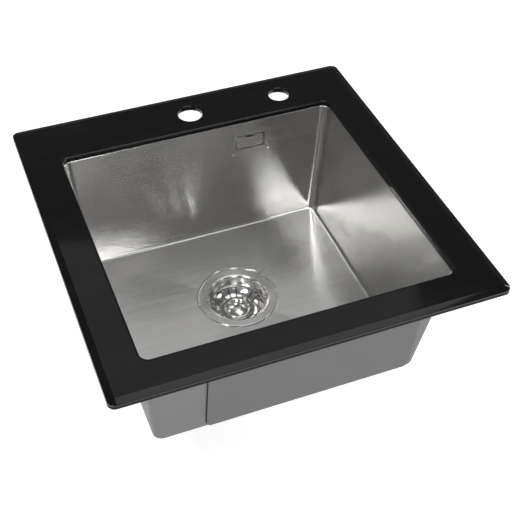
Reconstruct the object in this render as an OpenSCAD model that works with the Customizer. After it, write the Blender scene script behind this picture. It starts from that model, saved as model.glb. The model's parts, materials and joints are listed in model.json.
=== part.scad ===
// Kitchen sink with a glass top, a tapered steel bowl, a basket strainer waste and an overflow.
// Millimetres. The origin is the middle of the rim, on the worktop's surface, which is z = 0.
// +X is to the right and +Y is to the back, where the tap stands.

/* [Glass top] */
// Width of the glass top, left to right
rim_w = 500; // [470:5:600]
// Depth of the glass top, front to back
rim_d = 510; // [500:5:560]
// Thickness of the glass
glass_t = 6; // [5:0.5:8]
// Radius of the outer corners
rim_corner_r = 9; // [4:0.5:12]
// Width of the ground bevel round the outer edge
bevel_w = 8.8; // [5:0.2:10]
// Height that the bevel drops
bevel_drop = 2.65; // [1.5:0.05:3.5]
// Width of the chamfer round the bowl opening and the two holes
arris = 2.4; // [1:0.1:3]
// Height that this chamfer drops
arris_drop = 0.8; // [0.4:0.1:1.2]
// Thickness of the seal under the glass
seal_t = 3.4; // [3:0.1:5]
// Width of the seal
seal_w = 10; // [8:0.5:12]
// Thickness of the adhesive between glass and flange
bond_t = 1; // [0.5:0.1:1.5]

/* [Bowl] */
// Glass on each side of the opening
side_band = 51; // [45:1:70]
// Glass in front of the opening
front_band = 47.5; // [38:0.5:56]
// Glass behind the opening, with the two holes
rear_band = 84.5; // [78:0.5:110]
// Radius of the opening's corners
opening_r = 11; // [8:1:16]
// Steel that shows inside the opening
ledge = 0.6; // [0.4:0.1:3]
// Depth of the bowl, from its flange to the floor at the walls
bowl_depth = 179; // [150:1:220]
// Distance that the front and rear walls lean in, from top to floor
draft = 19.5; // [10:0.5:28]
// Distance that the left wall leans in
left_draft = 12.4; // [10:0.2:28]
// Distance that the right wall leans in
right_draft = 20.8; // [10:0.2:28]
// Radius of the corners between the walls
corner_r = 12; // [10:1:20]
// Radius between walls and floor
floor_edge_r = 5; // [3:0.5:8]
// Fall of the floor to the waste
floor_fall = 3; // [2:0.5:6]
// Thickness of the steel
sheet_t = 1; // [0.8:0.1:1.2]

/* [Tap holes] */
// Diameter of the tap hole
tap_hole_d = 35; // [32:0.5:36]
// Diameter of the second hole
side_hole_d = 30; // [26:0.5:35]
// Distance of the second hole from the tap hole
side_hole_x = 138; // [100:1:170]
// Distance of both holes from the rear edge
hole_inset = 45.5; // [44:0.5:58]

/* [Waste] */
// Distance of the waste behind the middle of the bowl
waste_back = 31; // [10:1:50]
// Diameter of the strainer flange
flange_d = 113; // [110:1:118]
// Depth of the round recess that the flange sits in
recess_depth = 1.5; // [1.5:0.1:3]
// Diameter of the hole in the floor
waste_hole_d = 90; // [90:0.5:92]
// Depth at which the basket sits in the flange
basket_sink = 14; // [13:0.5:18]
// Number of slots in the basket
slot_count = 18; // [12:1:24]
// Width of a slot
slot_w = 1.7; // [1.4:0.1:2.2]
// Diameter of the round hole at a slot's inner end
slot_end_d = 2.8; // [2.6:0.1:3]
// Outer diameter of the outlet's thread
outlet_d = 47.8; // [40:0.1:50]
// Length of the outlet's thread
outlet_len = 22; // [16:1:40]

/* [Overflow] */
// Distance of the overflow to the right of the middle
overflow_x = 77; // [40:1:110]
// Depth of the overflow's middle below the worktop
overflow_z = 30.4; // [26:0.2:50]
// Width of the pressed recess
recess_w = 61; // [58:1:66]
// Height of the pressed recess
recess_h = 36; // [34:1:40]
// Depth of the pressed recess
press_depth = 1.6; // [1:0.1:2]
// Width of the overflow's opening
slot_open_w = 45.2; // [42:0.2:48]
// Height of the overflow's opening
slot_open_h = 21.2; // [19:0.2:24]
// Bend radius of the hose
hose_bend_r = 60; // [50:1:70]
// Distance between two ribs of the hose
rib_pitch = 6; // [5:0.5:8]

/* [Fixing clips] */
// Distance of the side clips from the middle of the bowl
clip_spread = 130; // [90:1:150]
// Distance of the rear clips from the middle
clip_rear_x = 70; // [60:1:85]
// Distance of the clip screws from the rim's edge
clip_inset = 23; // [20:0.5:23]
// Travel of a clip's nut on its screw
clip_travel = 20; // [12:1:26]
// Reach of a claw from its screw
claw_reach = 34; // [30:1:40]

/* [Hidden] */

$fn = 64;
eps = 0.01;
// Facets of the rounded corners in a hull
hull_fn = 32;
// Running clearance of a shaft in its hole, on the radius
run_fit = 0.05;
// Gap between loose pieces
gap = 0.3;

glass_colour = "#161618";
steel_colour = "#a3a3a1";
bright_colour = "#c9c9c7";
rubber_colour = "#202022";
plastic_colour = "#d8d8d4";
pad_colour = "#7b7b7a";
zinc_colour = "#b4b6b8";

// Levels of the rim, from the worktop up
glass_z = seal_t;
glass_top_z = glass_z + glass_t;
flange_top_z = glass_z - bond_t;
flange_low_z = flange_top_z - sheet_t;

// The steel flange stops short of the seal
seal_clear = 2;
flange_w = rim_w - 2 * (seal_w + seal_clear);
flange_l = rim_d - 2 * (seal_w + seal_clear);
flange_corner_r = 6;
// Clearance of the bond and the flange round the two holes
bond_back = 3;
hole_clear = 1;

// The bowl
opening_w = rim_w - 2 * side_band;
opening_d = rim_d - front_band - rear_band;
bowl_y = (front_band - rear_band) / 2;
bowl_w = opening_w - 2 * ledge;
bowl_l = opening_d - 2 * ledge;
floor_z = flange_top_z - bowl_depth;
drain_z = floor_z - floor_fall;
seat_z = drain_z - recess_depth;
lean = atan(draft / bowl_depth);
hole_y = rim_d / 2 - hole_inset;
waste_y = bowl_y + waste_back;
// Steps of the round between walls and floor
edge_steps = 4;

// Sound pads
pad_t = 3;
pad_corner_r = 8;
front_pad_left = 66;
front_pad_top = 16;
front_pad_low = 5;
base_pad_w = 96;
base_pad_l = 250;
base_pad_gap = 12;

// Strainer flange, measured down from its own top face
flange_r = flange_d / 2;
flange_t = 1;
flange_edge = 0.5;
flange_dish = 0.3;
throat_gap = 2.5;
throat_r = waste_hole_d / 2 - flange_t - throat_gap;
throat_round = 4;
throat_taper = 1.2;
seat_r = throat_r - throat_taper;
cup_ledge = 3;
cup_r = seat_r - cup_ledge;
cup_below_basket = 30;
cup_depth = basket_sink + cup_below_basket;
recess_clear = 2;
recess_r = flange_r + recess_clear;
gasket_t = recess_depth - flange_t;
gasket_in = 2;
drain_hole_d = 9;
drain_hole_at = 19;
drain_holes = 9;

// Waste body, below the floor
lower_gasket_t = 2.5;
body_rim_t = 4;
body_wall = 3;
body_clear = 0.5;
body_in_r = waste_hole_d / 2 + body_clear;
body_rim_w = 11;
body_rim_r = body_in_r + body_rim_w;
body_cone_h = 18;
body_top_z = seat_z - sheet_t - lower_gasket_t;
cup_low_z = drain_z - cup_depth - flange_t;
body_below_cup = 8;
body_deep_z = cup_low_z - body_below_cup;
outlet_top_z = body_deep_z - body_cone_h;
outlet_neck = 12;
outlet_low_z = outlet_top_z - outlet_neck - outlet_len;
outlet_wall = 3.4;
thread_relief = 1;
boss_r = 8;
boss_h = 18;
web_t = 3;
bolt_r = 4;
bolt_head_r = 6.5;
bolt_head_h = 7;
bolt_nut_h = 6.5;
bolt_nut_r = 7.5;
bolt_tail = 3;

// Basket
basket_rim_clear = 1.1;
basket_rim_r = seat_r - basket_rim_clear;
basket_rim_w = 3;
basket_t = 0.8;
basket_rest = 0.1;
basket_wall_h = 6;
basket_wall_in = 0.7;
basket_dip = 12.1;
petal_in_r = 22;
// Shares of the petals' fall at one and two thirds of the way in
petal_falls = [0.55, 0.88];
slot_in_r = 22;
// Turn of the first slot
slot_turn = 13;
ring_out_r = 19.7;
ring_in_r = 15.4;
ring_h = 2.5;
stem_r = 2.5;
bulb_r = 3.2;
socket_r = bulb_r + 0.4;
hub_r = 12;
hub_in_r = 8;
stopper_r = 24;
stopper_t = 1.2;
seal_ring_r = 26;
seal_ring_t = 3.2;
socket_floor = 0.75;
knob_r = 14.5;
knob_h = 3.4;
knob_under = 0.3;

// Overflow, in the plane of the rear wall
recess_corner_r = 4;
opening_corner_r = 2;
carrier_lip = 0.7;
carrier_lip_t = 0.5;
carrier_fit = 0.2;
carrier_wall = 0.6;
carrier_depth = 9;
carrier_back_t = 1.5;
ogasket_t = 2;
housing_flange_t = 3;
housing_depth = 24;
housing_wall = 2;
housing_margin = 4;
housing_w = slot_open_w + 2 * housing_margin;
housing_h = slot_open_h + 2 * housing_margin;
post_r = 3.5;
oscrew_r = 1.6;
oscrew_head_r = 3;
oscrew_head_h = 1.8;
oscrew_x = 15;
oscrew_len = 14;
cover_gap = 1.2;
cover_t = 0.8;
cover_fold = 3.5;
cover_notch_w = 13;
cover_notch_h = 1.6;
cover_leg_w = 6;
cover_leg_x = 6;
water_slot_h = 5;

// Overflow hose: round cuffs at both ends, ribs between them
hose_r = 13.5;
hose_valley_r = 11.6;
hose_bore_r = 10.2;
hose_sides = 8;
cuff_r = 12.4;
cuff_len = 27;
spigot_r = 10;
spigot_in_r = 8;
spigot_len = 24;
spigot_root = 4;
collar_r = 12;
spigot_y = 16;
branch_drop = 15;
branch_reach = 62;
clamp_t = 1.4;
clamp_w = 9;
clamp_gap = 0.1;
clamp_lug = 7;
clamp_bolt_d = 3;

// Fixing clips, measured from the screw's axis
clip_x = rim_w / 2 - clip_inset;
clip_y = rim_d / 2 - clip_inset;
bracket_w = 14;
bracket_l = 34;
bracket_foot = 7;
bracket_t = 1.2;
bracket_h = 6;
screw_r = 2.5;
screw_cap_r = 3.8;
screw_cap_h = 1.5;
screw_head_r = 4.5;
screw_head_h = 3;
screw_rest = 0.1;
clip_nut_h = 6.7;
clip_nut_flange_r = 7;
clip_nut_flange_h = 1.5;
clip_nut_lip_r = 6.2;
clip_nut_lip_h = 1;
clip_boss_r = 4.9;
nut_rest = 0.5;
claw_play = 0.1;
claw_hub_r = 7.5;
claw_w = 12;
claw_plate = 2;
claw_cheek = 1.6;
claw_tooth_h = 9;
claw_tooth_w = 6;
claw_notch = 3;
claw_root_h = 4.5;
claw_start = 4.5;
claw_neck_x = 9;
clip_low_room = 26;
web_low_z = flange_low_z - bracket_h;
screw_low_z = web_low_z - clip_low_room - clip_travel;
nut_low_z = screw_low_z + nut_rest;

// Each clip: x, y and the angle of the direction in which its claw grips
clip_places = [
    [-clip_x, bowl_y - clip_spread, 180],
    [-clip_x, bowl_y + clip_spread, 180],
    [clip_x, bowl_y - clip_spread, 0],
    [clip_x, bowl_y + clip_spread, 0],
    [-clip_rear_x, clip_y, 90],
    [clip_rear_x, clip_y, 90]
];

// Rectangle with round corners, centred
module rounded_rect(w, d, r) {
    square([w - 2 * r, d], center = true);
    square([w, d - 2 * r], center = true);
    for (x = [-1, 1], y = [-1, 1])
        translate([x * (w / 2 - r), y * (d / 2 - r)])
            circle(r = r);
}

module ring(outer_r, inner_r, h) {
    difference() {
        cylinder(r = outer_r, h = h);
        translate([0, 0, -eps])
            cylinder(r = inner_r, h = h + 2 * eps);
    }
}

// Both round holes of the rear band, cut from z = low up to z = high
module rear_holes(grow, low, high) {
    translate([0, hole_y, low])
        cylinder(d = tap_hole_d + 2 * grow, h = high - low);
    translate([side_hole_x, hole_y, low])
        cylinder(d = side_hole_d + 2 * grow, h = high - low);
}

// Chamfer at the mouth of a round hole, from below the mouth up to it
module hole_arris(d) {
    over = arris_drop + eps;
    cylinder(d1 = d, d2 = d + 2 * arris * over / arris_drop, h = over);
}

module glass_top() {
    color(glass_colour)
        difference() {
            hull() {
                translate([0, 0, glass_z])
                    linear_extrude(glass_t - bevel_drop)
                        rounded_rect(rim_w, rim_d, rim_corner_r, $fn = hull_fn);
                translate([0, 0, glass_top_z - eps])
                    linear_extrude(eps)
                        rounded_rect(rim_w - 2 * bevel_w, rim_d - 2 * bevel_w, rim_corner_r / 2,
                            $fn = hull_fn);
            }
            translate([0, bowl_y, glass_z - eps])
                linear_extrude(glass_t + 2 * eps)
                    rounded_rect(opening_w, opening_d, opening_r);
            translate([0, bowl_y, 0])
                hull() {
                    translate([0, 0, glass_top_z - arris_drop])
                        linear_extrude(eps)
                            rounded_rect(opening_w, opening_d, opening_r, $fn = hull_fn);
                    translate([0, 0, glass_top_z])
                        linear_extrude(eps)
                            rounded_rect(opening_w + 2 * arris, opening_d + 2 * arris, opening_r + arris,
                                $fn = hull_fn);
                }
            rear_holes(0, glass_z - eps, glass_top_z + eps);
            translate([0, hole_y, glass_top_z - arris_drop])
                hole_arris(tap_hole_d);
            translate([side_hole_x, hole_y, glass_top_z - arris_drop])
                hole_arris(side_hole_d);
        }
}

module glass_bond() {
    color(rubber_colour)
        difference() {
            translate([0, 0, flange_top_z])
                linear_extrude(bond_t)
                    rounded_rect(flange_w - 2 * bond_back, flange_l - 2 * bond_back, flange_corner_r);
            translate([0, bowl_y, flange_top_z - eps])
                linear_extrude(bond_t + 2 * eps)
                    rounded_rect(opening_w + 2 * bond_back, opening_d + 2 * bond_back, opening_r + bond_back);
            rear_holes(bond_back, flange_top_z - eps, glass_z + eps);
        }
}

module worktop_seal() {
    inner_w = rim_w - 2 * seal_w;
    inner_l = rim_d - 2 * seal_w;
    color(rubber_colour)
        difference() {
            linear_extrude(seal_t)
                rounded_rect(rim_w, rim_d, rim_corner_r);
            translate([0, 0, -eps])
                linear_extrude(seal_t + 2 * eps)
                    rounded_rect(inner_w, inner_l, flange_corner_r);
        }
}

// Flat slice of the bowl at a height above its floor, grown by the steel and drawn in at the floor's edge
module bowl_slice(height, grow, inset) {
    share = height / bowl_depth;
    w = bowl_w - (left_draft + right_draft) * (1 - share) + 2 * grow - 2 * inset;
    l = bowl_l - 2 * draft * (1 - share) + 2 * grow - 2 * inset;
    x = (left_draft - right_draft) / 2 * (1 - share);
    translate([x, bowl_y, floor_z + height])
        linear_extrude(eps)
            rounded_rect(w, l, corner_r + grow - inset / 2, $fn = hull_fn);
}

// Solid form of the bowl up to a height above its floor, with the fall of the floor to the waste
module bowl_form(grow, height) {
    r = floor_edge_r + grow;
    hull() {
        bowl_slice(height, grow, 0);
        for (i = [0 : edge_steps]) {
            turn = 90 * i / edge_steps;
            bowl_slice(r * (1 - sin(turn)) - grow, grow, r * (1 - cos(turn)));
        }
        translate([0, waste_y, drain_z - grow])
            cylinder(r = recess_r + grow, h = eps, $fn = hull_fn);
    }
}

// Frame of the rear wall: x to the right, z up along the wall, y out of the bowl, 0 at its inner face
module on_rear_wall() {
    down = flange_top_z + overflow_z;
    wall_y = bowl_y + bowl_l / 2 - draft * down / bowl_depth;
    translate([overflow_x, wall_y, -overflow_z])
        rotate([-lean, 0, 0])
            children();
}

// Plate in the plane of the rear wall, from y = from to y = to
module wall_plate(w, h, r, from, to) {
    translate([0, to, 0])
        rotate([90, 0, 0])
            linear_extrude(to - from)
                rounded_rect(w, h, r);
}

module bowl() {
    color(steel_colour)
        difference() {
            union() {
                translate([0, 0, flange_low_z])
                    linear_extrude(sheet_t)
                        rounded_rect(flange_w, flange_l, flange_corner_r);
                bowl_form(sheet_t, bowl_depth - sheet_t);
                translate([0, waste_y, seat_z - sheet_t])
                    cylinder(r = recess_r + sheet_t, h = recess_depth + sheet_t);
                on_rear_wall()
                    wall_plate(recess_w + 2 * sheet_t, recess_h + 2 * sheet_t, recess_corner_r + sheet_t,
                        0, press_depth + sheet_t);
            }
            bowl_form(0, bowl_depth + eps);
            translate([0, waste_y, seat_z])
                cylinder(r = recess_r, h = recess_depth + eps);
            translate([0, waste_y, seat_z - 2 * sheet_t])
                cylinder(d = waste_hole_d, h = 3 * sheet_t);
            on_rear_wall() {
                wall_plate(recess_w, recess_h, recess_corner_r, -sheet_t, press_depth);
                wall_plate(slot_open_w, slot_open_h, opening_corner_r, 0, press_depth + 2 * sheet_t);
            }
            rear_holes(hole_clear, flange_low_z - eps, flange_top_z + eps);
        }
}

// Frame of the outer front wall: x to the right, z up along the wall, y into the bowl, 0 at the outer face
module on_front_wall() {
    translate([0, bowl_y - bowl_l / 2 - sheet_t, flange_top_z])
        rotate([lean, 0, 0])
            children();
}

module sound_pad_front() {
    slant = bowl_depth / cos(lean);
    left = -bowl_w / 2 + left_draft + front_pad_left;
    right = bowl_w / 2 - right_draft - corner_r;
    top = -front_pad_top;
    low = -slant + front_pad_low;
    color(pad_colour)
        on_front_wall()
            translate([(left + right) / 2, 0, (top + low) / 2])
                wall_plate(right - left, top - low, pad_corner_r, -pad_t, 0);
}

module sound_pad_base() {
    color(pad_colour)
        intersection() {
            difference() {
                translate([0, 0, -pad_t])
                    bowl_form(sheet_t, floor_edge_r);
                bowl_form(sheet_t, floor_edge_r);
            }
            for (side = [-1, 1])
                translate([side * (recess_r + base_pad_gap + base_pad_w / 2), bowl_y, drain_z - 2 * pad_t])
                    linear_extrude(floor_fall + 2 * pad_t)
                        rounded_rect(base_pad_w, base_pad_l, pad_corner_r);
        }
}

// Pieces of the waste stand on its axis
module at_waste(z) {
    translate([0, waste_y, z])
        children();
}

module flange_gasket() {
    color(rubber_colour)
        at_waste(seat_z)
            ring(flange_r - gasket_in, waste_hole_d / 2 + gasket_in, gasket_t);
}

// Arc of points in the plane of a turned profile
function arc(cx, cz, r, from, to, steps) =
    [for (i = [0 : steps]) let (a = from + (to - from) * i / steps) [cx + r * cos(a), cz + r * sin(a)]];

module strainer_flange() {
    face = concat(
        [[flange_r, -flange_t], [flange_r, -flange_edge], [flange_r - flange_edge, 0],
            [flange_r - 3 * flange_edge, 0]],
        arc(throat_r + throat_round, -flange_dish - throat_round, throat_round, 90, 180, 4),
        [[seat_r, -basket_sink], [cup_r, -basket_sink], [cup_r, -cup_depth], [0, -cup_depth]]
    );
    back = [
        [0, -cup_depth - flange_t], [cup_r + flange_t, -cup_depth - flange_t],
        [cup_r + flange_t, -basket_sink - flange_t], [seat_r + flange_t, -basket_sink - flange_t],
        [throat_r + flange_t, -2 * throat_round], [throat_r + flange_t, -flange_t - throat_gap],
        [waste_hole_d / 2 - gap, -flange_t]
    ];
    color(steel_colour)
        at_waste(drain_z)
            difference() {
                rotate_extrude()
                    polygon(concat(face, back));
                translate([0, 0, -cup_depth - 2 * flange_t])
                    cylinder(r = bolt_r + gap, h = 3 * flange_t);
                for (i = [0 : drain_holes - 1])
                    rotate(360 * i / drain_holes)
                        translate([drain_hole_at, 0, -cup_depth - 2 * flange_t])
                            cylinder(d = drain_hole_d, h = 3 * flange_t);
            }
}

module lower_gasket() {
    color(rubber_colour)
        at_waste(body_top_z)
            ring(body_rim_r, body_in_r + gasket_in, lower_gasket_t);
}

// Turned outline of the waste body, drawn in by a wall's thickness for its hollow
module body_outline(wall, neck_wall, over) {
    r = body_in_r + body_wall - wall;
    neck_r = outlet_d / 2 - neck_wall;
    rotate_extrude()
        polygon([
            [0, body_top_z + over], [r, body_top_z + over], [r, body_deep_z],
            [neck_r - (wall > 0 ? 0 : thread_relief), outlet_top_z],
            [neck_r - (wall > 0 ? 0 : thread_relief), outlet_top_z - outlet_neck],
            [neck_r, outlet_top_z - outlet_neck], [neck_r, outlet_low_z - over], [0, outlet_low_z - over]
        ]);
}

// Hose plane: it holds the waste's axis and the axis of the overflow's spigot
spigot_wall_y = bowl_y + bowl_l / 2 - draft * (flange_top_z + overflow_z) / bowl_depth;
hose_y = spigot_wall_y + spigot_y;
hose_top_z = -overflow_z - housing_h / 2 - spigot_root - spigot_len;
hose_angle = atan2(hose_y - waste_y, overflow_x);
hose_out = norm([overflow_x, hose_y - waste_y]);
branch_z = body_top_z - branch_drop - hose_r;

// Frame of the branch: x along it, away from the waste's axis
module on_branch() {
    translate([0, waste_y, branch_z])
        rotate(hose_angle)
            rotate([0, 90, 0])
                children();
}

module waste_body() {
    color(plastic_colour)
        difference() {
            union() {
                translate([0, waste_y, 0]) {
                    difference() {
                        union() {
                            body_outline(0, 0, 0);
                            translate([0, 0, body_top_z - body_rim_t])
                                cylinder(r = body_rim_r, h = body_rim_t);
                        }
                        body_outline(body_wall, outlet_wall, eps);
                    }
                    // Boss of the bolt on three webs
                    translate([0, 0, cup_low_z - gap - boss_h])
                        cylinder(r = boss_r, h = boss_h);
                    intersection() {
                        body_outline(body_wall / 2, outlet_wall / 2, 0);
                        for (turn = [0 : 120 : 240])
                            rotate(turn)
                                translate([0, -web_t / 2, cup_low_z - gap - boss_h])
                                    cube([body_rim_r, web_t, boss_h - web_t]);
                    }
                }
                on_branch()
                    translate([0, 0, body_in_r + body_wall / 2])
                        cylinder(r = spigot_r, h = branch_reach + spigot_len - body_in_r - body_wall / 2);
                on_branch()
                    translate([0, 0, body_in_r + body_wall / 2])
                        cylinder(r = hose_r, h = branch_reach - body_in_r - body_wall / 2 - gap);
            }
            on_branch()
                translate([0, 0, body_in_r - body_wall])
                    cylinder(r = spigot_in_r, h = branch_reach + spigot_len);
            translate([0, waste_y, cup_low_z - boss_h - bolt_tail])
                cylinder(r = bolt_r + run_fit, h = 2 * boss_h);
        }
}

module strainer_bolt() {
    head_z = drain_z - cup_depth;
    tail_z = cup_low_z - gap - boss_h - bolt_nut_h - bolt_tail;
    color(zinc_colour)
        at_waste(0)
            difference() {
                union() {
                    translate([0, 0, tail_z])
                        cylinder(r = bolt_r, h = head_z - tail_z + eps);
                    translate([0, 0, head_z])
                        cylinder(r = bolt_head_r, h = bolt_head_h);
                }
                translate([0, 0, head_z + socket_floor])
                    cylinder(r = socket_r, h = bolt_head_h);
            }
}

module strainer_bolt_nut() {
    color(zinc_colour)
        at_waste(cup_low_z - gap - boss_h - bolt_nut_h)
            difference() {
                cylinder(r = bolt_nut_r, h = bolt_nut_h, $fn = 6);
                translate([0, 0, -eps])
                    cylinder(r = bolt_r + run_fit, h = bolt_nut_h + 2 * eps);
            }
}

// Levels of the basket, measured down from the flange's top face
rim_low = -basket_sink + basket_rest;
rim_top = rim_low + basket_t;
wall_low = rim_top - basket_wall_h;
basket_floor = rim_top - basket_dip;

module basket_cup() {
    wall_r = basket_rim_r - basket_rim_w;
    low_r = wall_r - basket_wall_in;
    petal_h = wall_low - basket_floor;
    face = [
        [basket_rim_r, rim_low], [basket_rim_r, rim_top], [wall_r, rim_top], [low_r, wall_low],
        [(low_r * 2 + petal_in_r) / 3, wall_low - petal_h * petal_falls[0]],
        [(low_r + petal_in_r * 2) / 3, wall_low - petal_h * petal_falls[1]],
        [petal_in_r, basket_floor], [ring_out_r + basket_t / 2, basket_floor],
        [ring_out_r, basket_floor + ring_h], [ring_in_r, basket_floor + ring_h],
        [ring_in_r - basket_t / 2, basket_floor], [stem_r + run_fit, basket_floor]
    ];
    back = [
        [stem_r + run_fit, basket_floor - basket_t], [petal_in_r + basket_t / 3, basket_floor - basket_t],
        [(low_r + petal_in_r * 2) / 3, wall_low - petal_h * petal_falls[1] - basket_t],
        [(low_r * 2 + petal_in_r) / 3, wall_low - petal_h * petal_falls[0] - basket_t],
        [low_r + basket_t / 2, wall_low - basket_t], [wall_r + basket_t, rim_low]
    ];
    color(bright_colour)
        at_waste(drain_z)
            difference() {
                rotate_extrude()
                    polygon(concat(face, back));
                for (i = [0 : slot_count - 1])
                    rotate(slot_turn + 360 * i / slot_count)
                        translate([slot_in_r, 0, basket_floor - 2 * basket_t]) {
                            translate([0, -slot_w / 2, 0])
                                cube([low_r + basket_wall_in / 2 - slot_in_r, slot_w, basket_dip]);
                            cylinder(d = slot_end_d, h = basket_dip, $fn = hull_fn);
                        }
            }
}

// The stopper hangs from the cup's middle and ends just above the cup's bottom
plate_low = -cup_depth + gap + seal_ring_t;

module basket_stopper() {
    hub_top = basket_floor - basket_t;
    color(bright_colour)
        at_waste(drain_z)
            difference() {
                union() {
                    translate([0, 0, plate_low])
                        cylinder(r = stopper_r, h = stopper_t);
                    translate([0, 0, plate_low])
                        cylinder(r = hub_r, h = hub_top - plate_low);
                }
                translate([0, 0, plate_low - eps])
                    cylinder(r = hub_in_r, h = hub_top - plate_low - stopper_t);
                translate([0, 0, plate_low])
                    cylinder(r = stem_r + run_fit, h = hub_top - plate_low + eps);
            }
}

module basket_seal() {
    color(rubber_colour)
        at_waste(drain_z - cup_depth + gap)
            ring(seal_ring_r, hub_in_r + gap, seal_ring_t);
}

module basket_stem() {
    bulb_z = -cup_depth + socket_floor + gap + bulb_r;
    knob_z = basket_floor + knob_under;
    color(bright_colour)
        at_waste(drain_z) {
            translate([0, 0, bulb_z])
                cylinder(r = stem_r, h = knob_z - bulb_z);
            translate([0, 0, bulb_z])
                sphere(r = bulb_r);
        }
}

module basket_knob() {
    dome_r = (knob_r * knob_r + knob_h * knob_h) / (2 * knob_h);
    half = asin(knob_r / dome_r);
    color(bright_colour)
        at_waste(drain_z + basket_floor + knob_under)
            rotate_extrude()
                polygon(concat([[0, 0]], arc(0, knob_h - dome_r, dome_r, 90 - half, 90, 6)));
}

module overflow_gasket() {
    color(rubber_colour)
        on_rear_wall() {
            start = press_depth + sheet_t;
            difference() {
                wall_plate(recess_w, recess_h, recess_corner_r, start, start + ogasket_t);
                wall_plate(slot_open_w + gap, slot_open_h + gap, opening_corner_r,
                    start - eps, start + ogasket_t + eps);
            }
        }
}

// Levels of the overflow kit behind the wall
housing_y = press_depth + sheet_t + ogasket_t;
carrier_end = press_depth + carrier_depth;
housing_end = housing_y + housing_depth;

module overflow_housing() {
    color(plastic_colour)
        difference() {
            union() {
                on_rear_wall() {
                    wall_plate(recess_w, recess_h, recess_corner_r, housing_y, housing_y + housing_flange_t);
                    wall_plate(housing_w, housing_h, recess_corner_r, housing_y, housing_end);
                }
                translate([overflow_x, hose_y, hose_top_z])
                    cylinder(r = spigot_r, h = spigot_len + spigot_root + housing_wall);
                translate([overflow_x, hose_y, hose_top_z + spigot_len])
                    cylinder(r = collar_r, h = spigot_root + housing_wall);
            }
            on_rear_wall()
                difference() {
                    wall_plate(housing_w - 2 * housing_wall, housing_h - 2 * housing_wall, opening_corner_r,
                        housing_y - eps, housing_end - housing_wall);
                    // Posts that the screws turn into
                    for (x = [-oscrew_x, oscrew_x])
                        translate([x, carrier_end + gap, 0])
                            rotate([-90, 0, 0])
                                cylinder(r = post_r, h = housing_depth);
                }
            on_rear_wall()
                for (x = [-oscrew_x, oscrew_x])
                    translate([x, 0, 0])
                        rotate([-90, 0, 0])
                            cylinder(r = oscrew_r + run_fit,
                                h = carrier_end - carrier_back_t + oscrew_len + gap);
            translate([overflow_x, hose_y, hose_top_z - eps])
                cylinder(r = spigot_in_r, h = spigot_len + spigot_root + 3 * housing_wall);
        }
}

module overflow_carrier() {
    out_w = slot_open_w - 2 * carrier_fit;
    out_h = slot_open_h - 2 * carrier_fit;
    in_w = out_w - 2 * carrier_wall;
    in_h = out_h - 2 * carrier_wall;
    color(bright_colour)
        on_rear_wall()
            difference() {
                union() {
                    wall_plate(slot_open_w + 2 * carrier_lip, slot_open_h + 2 * carrier_lip,
                        opening_corner_r + carrier_lip, press_depth - carrier_lip_t, press_depth);
                    wall_plate(out_w, out_h, opening_corner_r, press_depth - eps, carrier_end);
                }
                wall_plate(in_w, in_h, opening_corner_r - carrier_wall, 0, carrier_end - carrier_back_t);
                // Slots that let the water through the back
                for (z = [-1, 1])
                    translate([0, 0, z * (in_h - water_slot_h) / 2])
                        wall_plate(in_w, water_slot_h, opening_corner_r / 2, 0, carrier_end + eps);
                for (x = [-oscrew_x, oscrew_x])
                    translate([x, 0, 0])
                        rotate([-90, 0, 0])
                            cylinder(r = oscrew_r + run_fit, h = carrier_end + eps);
            }
}

module overflow_screws() {
    seat = carrier_end - carrier_back_t;
    color(zinc_colour)
        on_rear_wall()
            for (x = [-oscrew_x, oscrew_x])
                translate([x, seat, 0])
                    rotate([90, 0, 0])
                        difference() {
                            union() {
                                cylinder(r = oscrew_head_r, h = oscrew_head_h);
                                translate([0, 0, -oscrew_len])
                                    cylinder(r = oscrew_r, h = oscrew_len + eps);
                            }
                            translate([0, 0, oscrew_head_h])
                                for (turn = [0, 90])
                                    rotate(turn)
                                        cube([oscrew_head_r, oscrew_r / 2, oscrew_head_h], center = true);
                        }
}

module overflow_cover() {
    out_w = slot_open_w - 2 * (carrier_fit + carrier_wall + cover_gap);
    out_h = slot_open_h - 2 * (carrier_fit + carrier_wall + cover_gap) + cover_gap / 2;
    front = press_depth - carrier_lip_t - cover_t / 2;
    seat = carrier_end - carrier_back_t;
    color(steel_colour)
        on_rear_wall()
            translate([0, 0, cover_gap / 4])
                difference() {
                    union() {
                        wall_plate(out_w, out_h, opening_corner_r / 2, front, front + cover_t);
                        // Folded top edge
                        translate([-out_w / 2, front, out_h / 2 - cover_t])
                            cube([out_w, cover_fold, cover_t]);
                        // Legs that clip against the carrier's back
                        for (x = [-1, 1])
                            translate([x * cover_leg_x - cover_leg_w / 2, front + cover_t / 2, -cover_t / 2])
                                cube([cover_leg_w, seat - gap - front - cover_t / 2, cover_t]);
                    }
                    translate([-cover_notch_w / 2, front - eps, out_h / 2 - cover_notch_h])
                        cube([cover_notch_w, cover_fold + 2 * eps, cover_notch_h + eps]);
                }
}

// The hose runs down from the spigot, round a quarter bend and in to the branch
hose_in = branch_reach;
run_down = hose_top_z + spigot_len - branch_z - hose_bend_r - gap;
run_bend = PI / 2 * hose_bend_r;
run_in = hose_out - hose_bend_r - hose_in;
hose_len = run_down + run_bend + run_in;
rib_span = hose_len - 2 * cuff_len;
rib_count = floor(rib_span / rib_pitch);
echo(hose_length = hose_len, ribs = rib_count);

// Point of the hose's middle line at a distance along it, as out, up and the line's slope angle
function hose_at(s) =
    s < run_down ? [hose_out, hose_top_z + spigot_len - gap - s, -90]
    : s < run_down + run_bend ?
        let (a = (s - run_down) / hose_bend_r * 180 / PI)
        [hose_out - hose_bend_r * (1 - cos(a)), branch_z + hose_bend_r * (1 - sin(a)), -90 - a]
    : [hose_out - hose_bend_r - (s - run_down - run_bend), branch_z, -180];

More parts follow.
